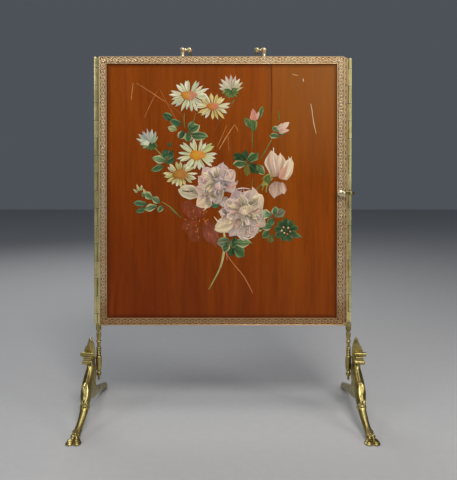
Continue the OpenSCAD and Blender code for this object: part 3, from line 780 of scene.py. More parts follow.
def crest_shells():
    out = []

    def lobe(x0, x1, ztip, zbase, half, th, y0, curve):
        rows = 16
        st = []
        for k in range(rows):
            q = k / (rows - 1)
            z = ztip + (zbase - ztip) * q
            h = half * math.sin(min(1, 0.06 + q * 1.0) * math.pi * 0.54) ** 0.85
            st.append([x0 + (x1 - x0) * q, y0 + curve * q, z, max(h, 0.6), th * (0.45 + 0.55 * q), 0])
        return loft(st, 24, 2)
    out.append(ellipsoid((260.4, -26.0, 148.6), (4.8, 4.4, 10.8)))
    out.append(lobe(260.4, 262.8, 156.0, 120, 7.4, 3.6, -22.6, 4.2))
    out.append(lobe(256.6, 258.4, 149.0, 120, 4.6, 3.0, -20.4, 3.0))
    out.append(lobe(265.6, 267.2, 149.5, 120, 6.0, 3.2, -21.0, 4.0))
    out.append(lobe(270.8, 271.4, 141.0, 120, 5.0, 3.0, -19.8, 3.0))
    return out


def roll(x0, x1, y, z, r):
    p = [(0, x0)] + [(r * math.sin(a) ** 0.7 if a > 0 else 0.01, x0 + 1.8 * (1 - math.cos(a))) for a in np.linspace(0.05, math.pi / 2, 7)]
    q = [(r * math.sin(a) ** 0.7, x1 - 1.8 * (1 - math.cos(a))) for a in np.linspace(math.pi / 2, 0.05, 7)] + [(0, x1)]
    v, f = lathe(p + q, 32)
    v = v[:, [2, 0, 1]]
    return v + np.array([0, y, z]), f


def box_shell(lo, hi):
    x0, y0, z0 = lo
    x1, y1, z1 = hi
    v = [[x, y, z] for z in (z0, z1) for y in (y0, y1) for x in (x0, x1)]
    return np.array(v, dtype=float), [[0, 2, 3, 1], [4, 5, 7, 6], [0, 1, 5, 4], [2, 6, 7, 3], [0, 4, 6, 2], [1, 3, 7, 5]]


def turned_ellipsoid(c, r, yaw, rot=0.0):
    v, f = ellipsoid((0, 0, 0), r, 28, 16, rot)
    q = math.radians(yaw)
    x, y = v[:, 0].copy(), v[:, 1].copy()
    v[:, 0], v[:, 1] = x * math.cos(q) - y * math.sin(q), x * math.sin(q) + y * math.cos(q)
    return v + np.asarray(c, dtype=float), f


def front_leg_shells():
    sh = [loft(LEG, 48, 6)] + crest_shells()
    sh += [roll(254.7, 280.3, -27.0, 126.2, 4.3), roll(258.2, 274.9, -25.0, 118.2, 5.4), roll(256.2, 277.5, -27.3, 110.2, 4.0)]
    sh.append(box_shell((257.0, -23, 107), (273.6, -10, 128.5)))
    for s in (-1, 1):
        # the two toes, splayed and flat, and the fetlock above them
        sh.append(turned_ellipsoid((266.0 + 5.7 * s, -129.0, 3.6), (6.9, 10.6, 3.7), 8 * s))
        sh.append(turned_ellipsoid((266.0 + 6.0 * s, -131.0, 1.9), (8.3, 10.2, 2.3), 8 * s))
        sh.append(turned_ellipsoid((265.4 + 4.9 * s, -111.6, 12.0), (2.7, 3.8, 5.4), 6 * s, 30))
        sh.append(turned_ellipsoid((265.8 + 3.0 * s, -121.5, 8.2), (3.6, 6.6, 3.8), 6 * s, 18))
    sh.append(ellipsoid((265.6, -117.5, 8.4), (7.0, 8.5, 6.4)))
    # small lobe on the inner side below the post, and the flat ridge beside it
    sh.append(ellipsoid((256.2, -16, 62), (3.4, 7.5, 9.0)))
    sh.append(ellipsoid((255.2, -15, 86), (2.9, 6.5, 20.0)))
    for z in (112.5, 91.0):
        v, f = lathe([(0, 255.3), (3.1, 255.35), (3.1, 263), (0, 263.1)], 24)
        sh.append((v[:, [2, 0, 1]] + np.array([0, 0, z]), f))
    sh.append(box_shell((258.2, -10, 84.3), (264.8, 3.8, 121.7)))
    return sh


lv, lf = leg_mesh("front_leg", front_leg_shells(), 0.62, 4, "right_front_leg", carve_leg)
# the sole stands on the floor
lv[:, 2] = np.maximum(lv[:, 2], 0.0)
rv, rf = leg_mesh("rear_leg", [loft(REAR, 40, 6)], 0.8, 3, "right_rear_leg",
                  lambda v, nr: 0.1 * (value_noise(v[:, 1] * 0.6 + 9, v[:, 2] * 0.6, 8) - 0.5))
for sgn, name in ((1, "right"), (-1, "left")):
    for part, v, f in (("front_leg", lv, lf), ("rear_leg", rv, rf)):
        vv = v * np.array([sgn, 1, 1])
        ff = f if sgn > 0 else [q[::-1] for q in f]
        ob = mesh_object("cast_%s_%s" % (name, part), vv, ff, BRASS, "stand")
        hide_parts("%s_%s" % (name, part))


# ------------------------------------------------------- knobs and catches ----

def knob_mesh():
    prof = [(0, -1.0), (3.0, -1.0), (3.0, 0.4), (4.9, 0.4), (5.0, 1.0), (4.2, 1.7), (3.3, 2.4), (3.2, 3.4), (4.2, 4.2), (6.6, 4.7), (8.2, 5.1)]
    prof += [(8.8 * math.cos(a), 5.8 + 4.4 * math.sin(a)) for a in np.linspace(0, math.pi / 2 - 0.08, 12)] + [(0, 10.25)]
    v, f = lathe(prof, 48)
    # the head is a flattened oval
    out = np.stack([231 + v[:, 0], -20.2 - v[:, 2], 442 + v[:, 1] * np.where(v[:, 2] > 3.6, 0.78, 0.95)], 1)
    return out, f


def strap_mesh():
    path = [(223.1, -19.6), (226, -19.6), (231, -19.6), (236, -19.6), (240, -19.6), (244, -19.6), (247, -19.6)]
    path += [(247 + 12.6 * math.sin(a), -7 - 12.6 * math.cos(a)) for a in np.linspace(0.12, math.pi / 2, 12)]
    path += [(259.6, -5), (259.6, -2), (259.6, 0.5), (259.6, 3.1)]
    p = np.array(path)
    d = np.gradient(p, axis=0)
    d /= np.hypot(d[:, 0], d[:, 1])[:, None]
    nrm = np.stack([d[:, 1], -d[:, 0]], 1)
    s = np.concatenate([[0], np.cumsum(np.hypot(*np.diff(p, axis=0).T))])
    h = np.interp(s, [0, 2, 5, 9, 14, 19, 24, 34, 44, 55], [2.4, 4.8, 5.7, 5.6, 4.4, 3.6, 3.3, 3.2, 3.3, 3.6])
    k = 20
    t = np.arange(k) * 2 * math.pi / k
    cz = np.sign(np.cos(t)) * np.abs(np.cos(t)) ** 0.45
    cn = np.sign(np.sin(t)) * np.abs(np.sin(t)) ** 0.7 * 0.59
    # the edges of the strap are turned up a little
    rows = []
    for i in range(len(p)):
        x = p[i, 0] + nrm[i, 0] * cn
        y = p[i, 1] + nrm[i, 1] * cn
        rows.append(np.stack([x, y, 442 + h[i] * cz], 1))
    v = np.concatenate(rows)
    f = grid_faces(len(p), k, True).tolist()
    f += [[j for j in range(k)][::-1], [(len(p) - 1) * k + j for j in range(k)]]
    return v, f


def fix_normals(ob, sharp=None):
    import bmesh
    bm = bmesh.new()
    bm.from_mesh(ob.data)
    bmesh.ops.recalc_face_normals(bm, faces=bm.faces)
    bm.to_mesh(ob.data)
    bm.free()
    ob.data.polygons.foreach_set("use_smooth", np.ones(len(ob.data.polygons), dtype=bool))
    if sharp:
        ob.data.set_sharp_from_angle(angle=math.radians(sharp))


for side, name in ((-1, "handle_post_left"), (1, "handle_post_right")):
    prof = [(0, 709.2), (5.0, 709.25), (5.1, 712.0), (4.7, 713.2), (3.9, 715.0), (3.3, 717.4), (3.1, 719.0), (3.8, 720.0), (3.9, 721.0), (3.3, 721.8), (3.5, 722.6)]
    prof += [(5.0 * math.sin(a), 727.3 - 5.0 * math.cos(a)) for a in np.linspace(0.75, math.pi - 0.12, 14)] + [(0, 732.3)]
    P = Parts()
    P.add(*lathe(prof, 40, centre=(side * 81.3, 0, 0)))
    v, f = lathe([(0, 62.9), (1.3, 62.95), (1.6, 63.3), (1.6, 80.0), (0, 80.1)], 24)
    P.add(v[:, [2, 0, 1]] * np.array([side, 1, 1]) + np.array([0, 0, 727.5]), f)
    v, f = lathe([(0, 74.6), (3.0, 74.65), (3.3, 75.2), (3.3, 76.6), (0, 76.7)], 32)
    P.add(v[:, [2, 0, 1]] * np.array([side, 1, 1]) + np.array([0, 0, 727.5]), f)
    ob = mesh_object("cast_" + name, P.verts(), P.f, PALE, "stand")
    fix_normals(ob, 40)
    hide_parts(name)
    v, f = ellipsoid((side * 67.2, 0, 727.35), (5.2, 4.95, 4.95), 32, 20)
    ob = mesh_object("bail_boss_%s" % ("left" if side < 0 else "right"), v, f, PALE, "bail")
    fix_normals(ob)

for body, k in (("left_wing", 1), ("right_wing", -1)):
    turn = np.array([k, k, 1])
    for kind, (v, f), sharp in (("knob", knob_mesh(), 40), ("catch_strap", strap_mesh(), 50)):
        ob = mesh_object("%s_%s_cast" % (body, kind), v * turn, f, PALE if kind == "knob" else BRASS, body)
        fix_normals(ob, sharp)
        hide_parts("%s_%s" % (body, kind))


#PAINT_BEGIN
# ---------------------------------------------------------- painted flowers ----
# Raised oil paint on the front board. Places are on a plan 457 wide and 480 tall.

PX = 1.9736
BOARD_Y = -16.5


def plan(x, y):
    return (np.asarray(x, float) - 228.5) * PX + 10.0, 537.6 - (np.asarray(y, float) - 144.0) * PX


def lin(c):
    c = np.asarray(c, float) / 255.0
    return np.where(c <= 0.04045, c / 12.92, ((c + 0.055) / 1.055) ** 2.4)


class Paint:
    """Patches of paint; each is a closed shell from the board to its own surface."""

    def __init__(self, name, mat, gain=(1, 1, 1)):
        self.gain = np.array(gain, float)
        self.name, self.mat, self.v, self.f, self.c, self.n = name, mat, [], [], [], 0

    def patch(self, X, Z, H, C, level):
        nu, nv = X.shape
        top = np.stack([X.ravel(), BOARD_Y - level - np.maximum(H, 0.03).ravel(), Z.ravel()], 1)
        bot = np.stack([X.ravel(), np.full(X.size, BOARD_Y + 0.02), Z.ravel()], 1)
        n = len(top)
        f = grid_faces(nu, nv)
        idx = np.arange(n).reshape(nu, nv)
        loop = np.concatenate([idx[0, :-1], idx[:-1, -1], idx[-1, :0:-1], idx[:0:-1, 0]])
        nxt = np.roll(loop, -1)
        faces = np.concatenate([f, f[:, ::-1] + n, np.stack([nxt, loop, loop + n, nxt + n], 1)])
        a, b, c = top[f[0][0]], top[f[0][1]], top[f[0][2]]
        e0 = (X[0, -1] - X[0, 0]) if abs(X[0, -1] - X[0, 0]) > 1e-9 else 1e-9
        # orient by the signed area of the outline on the plan
        ax, az = X.ravel()[loop], Z.ravel()[loop]
        area2 = np.sum(ax * np.roll(az, -1) - np.roll(ax, -1) * az)
        if area2 > 0:
            pass
        else:
            faces = faces[:, ::-1]
        self.v.append(np.concatenate([top, bot]))
        self.f.append(faces + self.n)
        col = C.reshape(-1, 3)
        self.c.append(np.concatenate([col, col]))
        self.n += 2 * n

    def petal(self, x, y, ang, L, W, base, tip, edge=None, level=0.1, thick=0.35, tipw=0.55, bend=0.0, streak=0.16, seed=0, nu=12, nv=9, notch=0.0, root=0.25):
        """A petal or leaf from (x, y) outwards: ang in degrees, 0 to the right and 90 up."""
        u = np.linspace(0, 1, nu)[:, None]
        v = np.linspace(-1, 1, nv)[None, :]
        a = math.radians(ang)
        w = W / 2 * (root * (1 - u) ** 2 + (1 - root * (1 - u) ** 2) * np.sin(math.pi * np.clip(u, 0, 1) ** tipw) ** 0.72)
        w = np.maximum(w, 0.12 * W * (1 - u) * root + 0.02)
        r = np.random.default_rng(seed + 17)
        wob = 1 + 0.10 * np.sin(u * 9 + r.random() * 6) * np.abs(v)
        rag = value_noise(v * 2.6 + seed * 0.91 + 5, v * 0 + seed * 0.37, 3) - 0.5
        lu = u * L * (1 + 0.22 * rag * u ** 2) * (1 - notch * np.exp(-(v / 0.3) ** 2) * u ** 3)
        off = w * v * wob
        px_ = lu
        py_ = off + bend * L * np.sin(u * math.pi * 0.5) ** 2
        gx = x + px_ * math.cos(a) - py_ * math.sin(a)
        gy = y - (px_ * math.sin(a) + py_ * math.cos(a))
        X, Z = plan(gx, gy)
        grain = value_noise(np.repeat(v * 3.2 + seed * 1.37 + 20, nu, 0), np.repeat(u * 1.3 + seed * 0.71 + 9, nv, 1), seed % 7)
        hair = value_noise(np.repeat(v * 8.5 + seed * 2.3 + 11, nu, 0), np.repeat(u * 1.7 + seed, nv, 1), 6)
        H = thick * (0.35 + 0.65 * np.sqrt(np.clip(1 - v * v, 0, 1))) * (0.62 + 0.4 * grain + 0.32 * hair) * np.clip(u * 5 + 0.35, 0, 1)
        base, tip = lin(base), lin(tip)
        k = np.clip(u * 1.1 + (grain - 0.5) * streak * 4, 0, 1)[..., None]
        C = base * (1 - k) + tip * k
        C = C * (1 + (grain[..., None] - 0.5) * streak * 2.4 + (hair[..., None] - 0.5) * streak * 3.0)
        if edge is not None:
            e = (np.clip((np.abs(v) - 0.5) / 0.4, 0, 1) * np.clip(u * 3, 0, 1) * (0.35 + 0.65 * (grain > 0.42)))[..., None]
            C = C * (1 - e) + lin(edge) * e
        self.patch(X, Z, H, np.clip(C, 0, 1) + 0 * X[..., None], level)

    def blob(self, x, y, rx, ry, centre, rim, level=0.2, thick=0.5, rot=0, seed=0, rough=0.12, n=12, lump=0.0, split=None):
        """A dab of paint, rounder than a petal."""
        u, v = np.meshgrid(np.linspace(-1, 1, n), np.linspace(-1, 1, n), indexing="ij")
        du, dv = u * np.sqrt(1 - v * v / 2), v * np.sqrt(1 - u * u / 2)
        rr = np.hypot(du, dv)
        th = np.arctan2(dv, du)
        r = np.random.default_rng(seed + 5)
        p1, p2 = r.random(2) * 6
        s = 1 + rough * (np.sin(3 * th + p1) * 0.6 + np.sin(5 * th + p2) * 0.5) * rr
        q = math.radians(rot)
        gx0, gy0 = du * rx * s, dv * ry * s
        gx = x + gx0 * math.cos(q) + gy0 * math.sin(q)
        gy = y - (-gx0 * math.sin(q) + gy0 * math.cos(q)) * 1.0
        gy = 2 * y - gy
        X, Z = plan(gx, gy)
        g = value_noise(gx * 0.9 + seed * 3, gy * 0.9 + seed, seed % 5)
        H = thick * np.sqrt(np.clip(1.05 - rr ** 2, 0, 1)) * (0.75 + 0.5 * g)
        if lump:
            H = H + lump * thick * (value_noise(gx * 2.6 + 3, gy * 2.6 + seed, 2) - 0.4)
        k = np.clip(rr * 1.05 + (g - 0.5) * 0.5, 0, 1)[..., None]
        C = lin(centre) * (1 - k) + lin(rim) * k
        if split is not None:
            m = np.clip((gx - x) / rx * 1.5 + 0.4 + (g - 0.5), 0, 1)[..., None]
            C = C * (1 - m) + lin(split) * m
        C = C * (0.85 + 0.3 * g[..., None])
        self.patch(X, Z, H, np.clip(C, 0, 1), level)

    def stroke(self, pts, width, c0, c1=None, level=0.05, thick=0.18, per=5, taper=0.5, seed=0, nv=5):
        p = smooth_profile(pts, per) if len(pts) > 2 else np.linspace(pts[0], pts[1], 8)
        d = np.gradient(p, axis=0)
        d /= np.maximum(np.hypot(d[:, 0], d[:, 1]), 1e-9)[:, None]
        nrm = np.stack([-d[:, 1], d[:, 0]], 1)
        n = len(p)
        u = np.linspace(0, 1, n)
        w = width / 2 * (1 - taper * np.abs(2 * u - 1) ** 3) * (0.9 + 0.2 * value_noise(u * 9 + seed, u * 0, 1))
        v = np.linspace(-1, 1, nv)
        gx = p[:, :1] + nrm[:, :1] * w[:, None] * v
        gy = p[:, 1:] + nrm[:, 1:] * w[:, None] * v
        X, Z = plan(gx, gy)
        H = thick * np.sqrt(np.clip(1.02 - v * v, 0, 1))[None, :] * (0.8 + 0.3 * value_noise(u * 14 + seed, u * 0, 3))[:, None]
        c1 = c0 if c1 is None else c1
        C = lin(c0) * (1 - u)[:, None, None] + lin(c1) * u[:, None, None]
        g = value_noise(gx * 0.8 + seed, gy * 0.8, 4)[..., None]
        C = C * (0.8 + 0.4 * g)
        self.patch(X, Z, H, np.clip(C, 0, 1), level)

    def done(self):
        ob = mesh_object(self.name, np.concatenate(self.v), np.concatenate(self.f), self.mat, "left_wing", attrs={"Col": np.clip(np.concatenate(self.c) * self.gain, 0, 1)})
        ob.data.set_sharp_from_angle(angle=math.radians(55))
        return ob


def daisy(P, D, cx, cy, rx, ry, petals, disc, disc_c, seed=0, level=0.3, dim=1.0):
    """petals: list of (angle, reach in the plan's pixels, width, base colour, tip colour)."""
    for i, (a, reach, w, b, t) in enumerate(petals):
        q = math.radians(a)
        sx, sy = cx + rx * 0.62 * math.cos(q), cy - ry * 0.62 * math.sin(q)
        P.petal(sx, sy, a, reach, w, np.array(b) * dim, np.array(t) * dim, edge=None, level=level + 0.03 * (i % 5), thick=0.34,
                tipw=1.5, bend=0.14 * (hash01(seed, i) - 0.5), streak=0.24, seed=seed * 31 + i, nu=11, nv=9, root=0.3)
    D.blob(cx, cy, rx, ry, disc_c[0], disc_c[1], level=level + 0.25, thick=0.75, seed=seed, lump=0.5, n=14, split=disc_c[2] if len(disc_c) > 2 else None)


scratches = Paint("painted_scratches", PAINT)
straw = ((190, 128, 66), (168, 104, 44))
for i, (pts, w, c) in enumerate((
    ([(133.5, 82.5), (132.2, 92), (131.5, 99.5)], 0.9, (196, 132, 84)),
    ([(136.5, 82.5), (150, 91), (165, 101)], 0.9, (190, 122, 60)),
    ([(158, 89), (151, 103), (144.5, 117)], 0.8, (176, 106, 48)),
    ([(159.5, 88), (169, 106), (179, 124)], 0.7, (168, 100, 44)),
    ([(165, 101), (176, 109), (184, 117)], 0.6, (160, 92, 40)),
    ([(234.5, 124), (226.5, 136), (219, 148.7)], 1.0, (205, 140, 70)),
    ([(227, 124), (222, 136), (217, 146.5)], 0.7, (190, 120, 56)),
    ([(235, 124), (237, 128), (238, 131)], 0.7, (190, 126, 62)),
    ([(227.8, 133), (228.6, 143), (229, 152)], 0.7, (178, 108, 50)),
    ([(310.5, 103), (311.7, 109), (313.3, 121), (316, 133)], 0.9, (214, 178, 140)),
    ([(302.8, 78), (303.3, 81.4)], 0.9, (214, 190, 160)),
    ([(291.7, 73.7), (298.3, 75.3)], 0.8, (196, 150, 110)),
    ([(271.7, 63.5), (271.6, 80), (271.9, 96), (271.6, 112)], 0.5, (74, 34, 14)),
)):
    scratches.stroke(pts, w, c, level=0.0, thick=0.06, seed=i)

stems = Paint("painted_stems", PAINT, (1.15, 1.0, 0.65))
green, pale, dark = (92, 110, 66), (188, 182, 150), (60, 72, 44)
for i, (pts, w, c0, c1) in enumerate((
    ([(155, 147), (161, 154), (168, 160.5)], 1.2, (150, 160, 110), (100, 108, 70)),
    ([(184.5, 112), (184.2, 120), (185, 128)], 1.0, (120, 120, 70), green),
    ([(196, 112), (193, 123), (188, 132)], 0.9, (120, 118, 66), green),
    ([(192, 139), (193.4, 143.5)], 1.0, green, green),
    ([(234.5, 98.7), (232, 104)], 1.2, (84, 112, 66), (110, 112, 60)),
    ([(232, 104), (226, 113), (219, 122), (214, 131)], 0.6, (124, 98, 50), (112, 78, 36)),
    ([(252.3, 130), (252.2, 139), (252.8, 148.7)], 1.1, (92, 120, 78), (80, 98, 60)),
    ([(278.3, 110), (278.8, 115), (279, 121)], 1.0, (100, 128, 80), (90, 112, 70)),
    ([(271.7, 138.7), (266, 149), (260.5, 158.7)], 1.2, (120, 140, 90), (92, 102, 60)),
    ([(262.8, 182), (258, 187), (253.9, 192)], 1.1, (120, 130, 80), (100, 104, 60)),
    ([(252.8, 177.6), (252, 185), (251.7, 192)], 1.0, (110, 120, 76), (96, 100, 60)),
    ([(162, 201), (171, 207), (176, 212), (181, 217.5)], 1.1, (132, 150, 96), (96, 92, 50)),
    ([(170, 208), (176, 213), (182, 217)], 0.8, (104, 110, 66), (96, 92, 50)),
    ([(221.4, 223.6), (224.5, 238), (223.6, 251), (220, 267), (214.5, 278.5), (208.6, 289)], 1.5, (190, 196, 160), (150, 158, 104)),
    ([(222.2, 225), (225.5, 238), (224.6, 252), (221.2, 267)], 0.6, (232, 232, 214), (206, 206, 180)),
    ([(226, 250), (226.8, 255), (227, 260)], 0.9, (206, 140, 110), (180, 110, 76)),
    ([(227, 254), (231, 260), (234.5, 264.5), (240, 271), (244.5, 277), (249, 285), (252.7, 292.7)], 1.0, (186, 116, 78), (196, 128, 90)),
    ([(236, 240), (231, 249), (226, 257)], 0.8, (120, 116, 70), (110, 84, 46)),
)):
    stems.stroke(pts, w, c0, c1, level=0.05, thick=0.22, seed=i)

leaves = Paint("painted_leaves", PAINT, (1.12, 0.88, 0.56))
TEAL, TEALD, TEALL, OLIVE, EDGE = (58, 110, 86), (30, 62, 46), (120, 168, 144), (92, 92, 40), (206, 218, 196)
LEAVES = [
    # x, y of the root, angle, length, width, root colour, tip colour, edge colour, level
    (172, 118.5, 150, 10, 8.0, TEALD, TEAL, TEALL, .10),
    (181, 124.5, 152, 11, 7.6, TEALD, TEAL, TEALL, .12),
    (177, 129.5, 155, 9.5, 6.2, (110, 140, 112), (168, 190, 160), EDGE, .16),
    (184, 130.5, 245, 9, 8.4, TEALD, TEAL, EDGE, .14),
    (189, 132, 262, 9.5, 8.4, (34, 70, 50), (66, 118, 86), EDGE, .12),
    (189.5, 131.5, 32, 12, 8.8, (30, 70, 52), (86, 140, 108), EDGE, .18),
    (192, 134.5, -12, 15, 9.5, (34, 76, 56), (98, 150, 116), EDGE, .20),
    (189, 129, 62, 9.5, 6.8, (40, 76, 52), (80, 128, 96), TEALL, .16),
    (172, 149.5, 252, 10, 7.2, TEALD, (64, 112, 84), TEALL, .12),
    (167.5, 149, 238, 9.4, 7.4, TEALD, TEAL, TEALL, .13),
    (170.5, 146.5, 100, 5, 4.0, TEALD, TEAL, None, .1),
    (166, 160.5, 168, 14, 7.6, (40, 84, 60), (110, 156, 124), EDGE, .16),
    (163.5, 165.5, 196, 12.5, 6.6, (32, 66, 46), (80, 124, 92), TEALL, .14),
    (174.5, 158.6, 205, 9, 5.6, TEALD, TEAL, None, .1),
    # lower-left spray
    (153, 198, 152, 11.5, 7.0, (40, 86, 66), (112, 156, 132), EDGE, .16),
    (160, 202, 150, 9.5, 6.6, (42, 86, 66), (106, 152, 126), EDGE, .17),
    (147, 203.5, 172, 13, 6.0, (32, 70, 52), (84, 130, 108), TEALL, .14),
    (146.5, 207.5, 196, 11.5, 5.4, (30, 62, 46), (74, 118, 96), TEALL, .13),
    (157, 205.5, 188, 13.5, 7.2, (44, 88, 68), (118, 160, 136), EDGE, .19),
    (163, 205.2, 232, 8, 5.8, (36, 76, 56), (88, 134, 108), EDGE, .16),
    (146, 196, 140, 6, 4.4, (60, 96, 72), (120, 150, 120), None, .12),
    # about the buds
    (254.0, 130.5, 98, 14.5, 9.0, (46, 84, 48), (92, 130, 84), (150, 176, 140), .16),
    (258.0, 118.5, 70, 13, 5.0, (44, 82, 46), (96, 136, 90), TEALL, .15),
    (251, 128, 118, 13, 5.4, (40, 74, 44), (84, 122, 76), TEALL, .14),
    (279.0, 130.5, 150, 8, 5.4, (48, 92, 66), (104, 148, 116), EDGE, .15),
    (279.0, 135.5, 172, 9.5, 6.0, (40, 82, 60), (94, 140, 110), EDGE, .16),
    (278.5, 133.5, 22, 9, 5.4, (46, 88, 64), (98, 144, 112), TEALL, .15),
    # cluster right of the top rose
    (245, 160.5, 145, 12.5, 9.2, (20, 46, 30), (36, 74, 50), None, .14),
    (246.5, 162.5, 188, 13, 8.4, (48, 88, 62), (64, 108, 78), EDGE, .18),
    (247.5, 161, 42, 13.5, 9.2, (36, 74, 50), (76, 118, 82), TEALL, .15),
    (248.5, 163.5, -40, 13.5, 9.6, (28, 58, 36), (54, 92, 58), None, .16),
    (256, 164.5, -42, 12.5, 8.0, (60, 98, 66), (104, 142, 100), EDGE, .19),
    (248, 163.5, 262, 12, 7.6, (92, 100, 46), (116, 116, 58), None, .14),
    (246, 158, 95, 8.5, 6.4, (30, 62, 42), (52, 88, 60), None, .12),
    # right group
    (271.5, 214.5, 166, 12.8, 9.2, (52, 112, 90), (128, 182, 160), (226, 234, 222), .22),
    (276, 215, 105, 9.5, 7.4, (44, 92, 74), (90, 140, 118), EDGE, .18),
    (274, 215, 22, 12.4, 8.6, (90, 100, 92), (130, 132, 134), TEALL, .17),
    (273.5, 217.5, 232, 9, 7.2, (36, 78, 56), (82, 126, 98), TEALL, .19),
    (272, 226, 178, 10.5, 7.6, (38, 82, 60), (88, 134, 104), EDGE, .2),
    (264, 226.5, 182, 9.5, 8.0, (34, 74, 54), (76, 122, 94), EDGE, .19),
    (269, 230.5, 222, 9, 7.0, (34, 72, 46), (70, 112, 76), TEALL, .17),
    (272.5, 233.5, 252, 9.5, 7.6, (80, 88, 40), (102, 104, 52), None, .16),
    # below the lower rose
    (240, 230.5, 185, 12, 10.5, (18, 44, 30), (38, 76, 52), None, .15),
    (229.5, 240, 192, 13, 10.5, (60, 84, 72), (120, 140, 130), TEALL, .2),
    (228, 241.5, 250, 10.5, 8.4, (30, 66, 46), (74, 118, 86), EDGE, .18),
    (236, 237.5, 250, 10, 8.4, (28, 62, 42), (66, 108, 76), TEALL, .16),
    (234, 241.2, -8, 17, 9.6, (52, 104, 74), (120, 164, 128), (236, 240, 226), .24),
    (234.5, 246.5, -38, 13.5, 10.4, (32, 72, 48), (74, 118, 82), TEALL, .2),
    (232.5, 247, 250, 8.5, 7.0, (28, 58, 38), (54, 92, 60), None, .17),
    (219.5, 202, 215, 8.4, 6.6, (40, 86, 72), (82, 130, 112), None, .2),
]
for i, (x, y, a, L, W, b, t_, e, lv_) in enumerate(LEAVES):
    leaves.petal(x, y, a, L, W, b, t_, edge=e, level=lv_, thick=0.3, tipw=1.12, bend=0.22 * (hash01(3, i) - 0.5), streak=0.18, seed=200 + i, root=0.3, nu=11, nv=9)
    q = math.radians(a)
    leaves.stroke([(x, y), (x + L * 0.45 * math.cos(q), y - L * 0.45 * math.sin(q)), (x + L * 0.86 * math.cos(q), y - L * 0.86 * math.sin(q))],
                  0.7, tuple(np.array(t_) * 0.55 + np.array((60, 66, 50))), tuple(np.array(b) * 0.9), level=lv_ + 0.3, thick=0.08, seed=i, nv=3)
# cream strokes of the lower-left buds
for i, (x, y, a, L, W) in enumerate(((139.5, 190.5, 112, 7.5, 3.2), (141.5, 190, 88, 6.0, 2.6), (137.5, 192, 140, 5.5, 2.6), (146.5, 194, 120, 7.0, 3.0))):
    leaves.petal(x, y, a, L, W, (120, 150, 118), (214, 216, 190), level=0.2, thick=0.3, seed=400 + i, root=0.4)
# a dark rosette with pale dots
for k in range(9):
    a = k * 40 + 12
    leaves.petal(286 + 1.6 * math.cos(math.radians(a)), 229.5 - 1.6 * math.sin(math.radians(a)), a, 8.6 + 2.4 * hash01(k, 77), 7.6, (34, 58, 38), (60, 98, 66), edge=(92, 130, 96), level=0.2 + 0.03 * (k % 3), thick=0.3, seed=430 + k, root=0.5, tipw=1.5)
leaves.petal(293, 233.5, -20, 9.5, 4.6, (40, 84, 62), (92, 132, 104), edge=TEALL, level=0.18, thick=0.25, seed=441)
leaves.blob(286, 229.5, 3.2, 3.0, (72, 92, 60), (40, 66, 46), level=0.42, thick=0.3, seed=6)
for k, (x, y, c) in enumerate(((283.6, 226.5, (222, 190, 180)), (288.2, 227, (236, 230, 216)), (290.2, 230.8, (214, 150, 140)), (284.3, 232.2, (230, 214, 200)), (287.4, 233.4, (206, 130, 116)), (281.6, 229.8, (236, 226, 210)))):
    leaves.blob(x, y, 0.9, 0.9, c, c, level=0.5, thick=0.35, seed=k, n=7)

# ---- daisies
WHT, CRM, PGR, YGR, PBL = (232, 232, 214), (222, 214, 178), (176, 186, 140), (150, 148, 74), (196, 206, 204)
daisies = Paint("painted_daisy_petals", PAINT, (1.0, 0.95, 0.78))
discs = Paint("painted_daisy_centres", PAINT)


def ring_of(n, a0, rx, ry, w, base, tips, seed, skip=()):
    w *= 0.8
    out = []
    for i in range(n):
        a = a0 + 360.0 * i / n + 9 * (hash01(seed, i, 1) - 0.5)
        if i in skip:
            continue
        q = math.radians(a)
        reach = 1 / math.sqrt((math.cos(q) / rx) ** 2 + (math.sin(q) / ry) ** 2) * (0.86 + 0.26 * hash01(seed, i, 2))
        t_ = tips[int(hash01(seed, i, 3) * len(tips)) % len(tips)]
        out.append((a, reach, w * (0.85 + 0.3 * hash01(seed, i, 4)), base, t_))
    return out


GOLD = ((232, 168, 44), (206, 130, 34))
daisy(daisies, discs, 189, 95, 8.0, 4.6, ring_of(21, 4, 15.0, 12.0, 4.1, (206, 206, 170), (WHT, (240, 240, 228), PBL, (214, 222, 196)), 1), None, ((230, 170, 56), (198, 122, 44), (206, 138, 108)), seed=1)
daisy(daisies, discs, 212.8, 106, 6.2, 3.8, ring_of(17, 12, 13.4, 11.2, 4.1, (206, 190, 130), (WHT, (238, 228, 190), (226, 206, 140), (240, 238, 226)), 2), None, ((224, 150, 52), (196, 112, 50), (210, 128, 96)), seed=2, level=0.45)
daisy(daisies, discs, 197.5, 154.5, 8.0, 5.0, ring_of(20, 8, 15.4, 11.6, 4.3, (206, 206, 150), (WHT, (214, 224, 206), (198, 206, 140), (232, 236, 230)), 3), None, ((238, 180, 44), (214, 132, 36), (226, 150, 60)), seed=3, level=0.5)
daisy(daisies, discs, 180, 173.5, 7.6, 5.2, ring_of(17, 2, 12.0, 8.6, 4.0, (176, 160, 84), (CRM, (226, 216, 158), (206, 206, 150), WHT), 4), None, ((206, 150, 56), (160, 104, 36), (190, 126, 60)), seed=4, level=0.34)
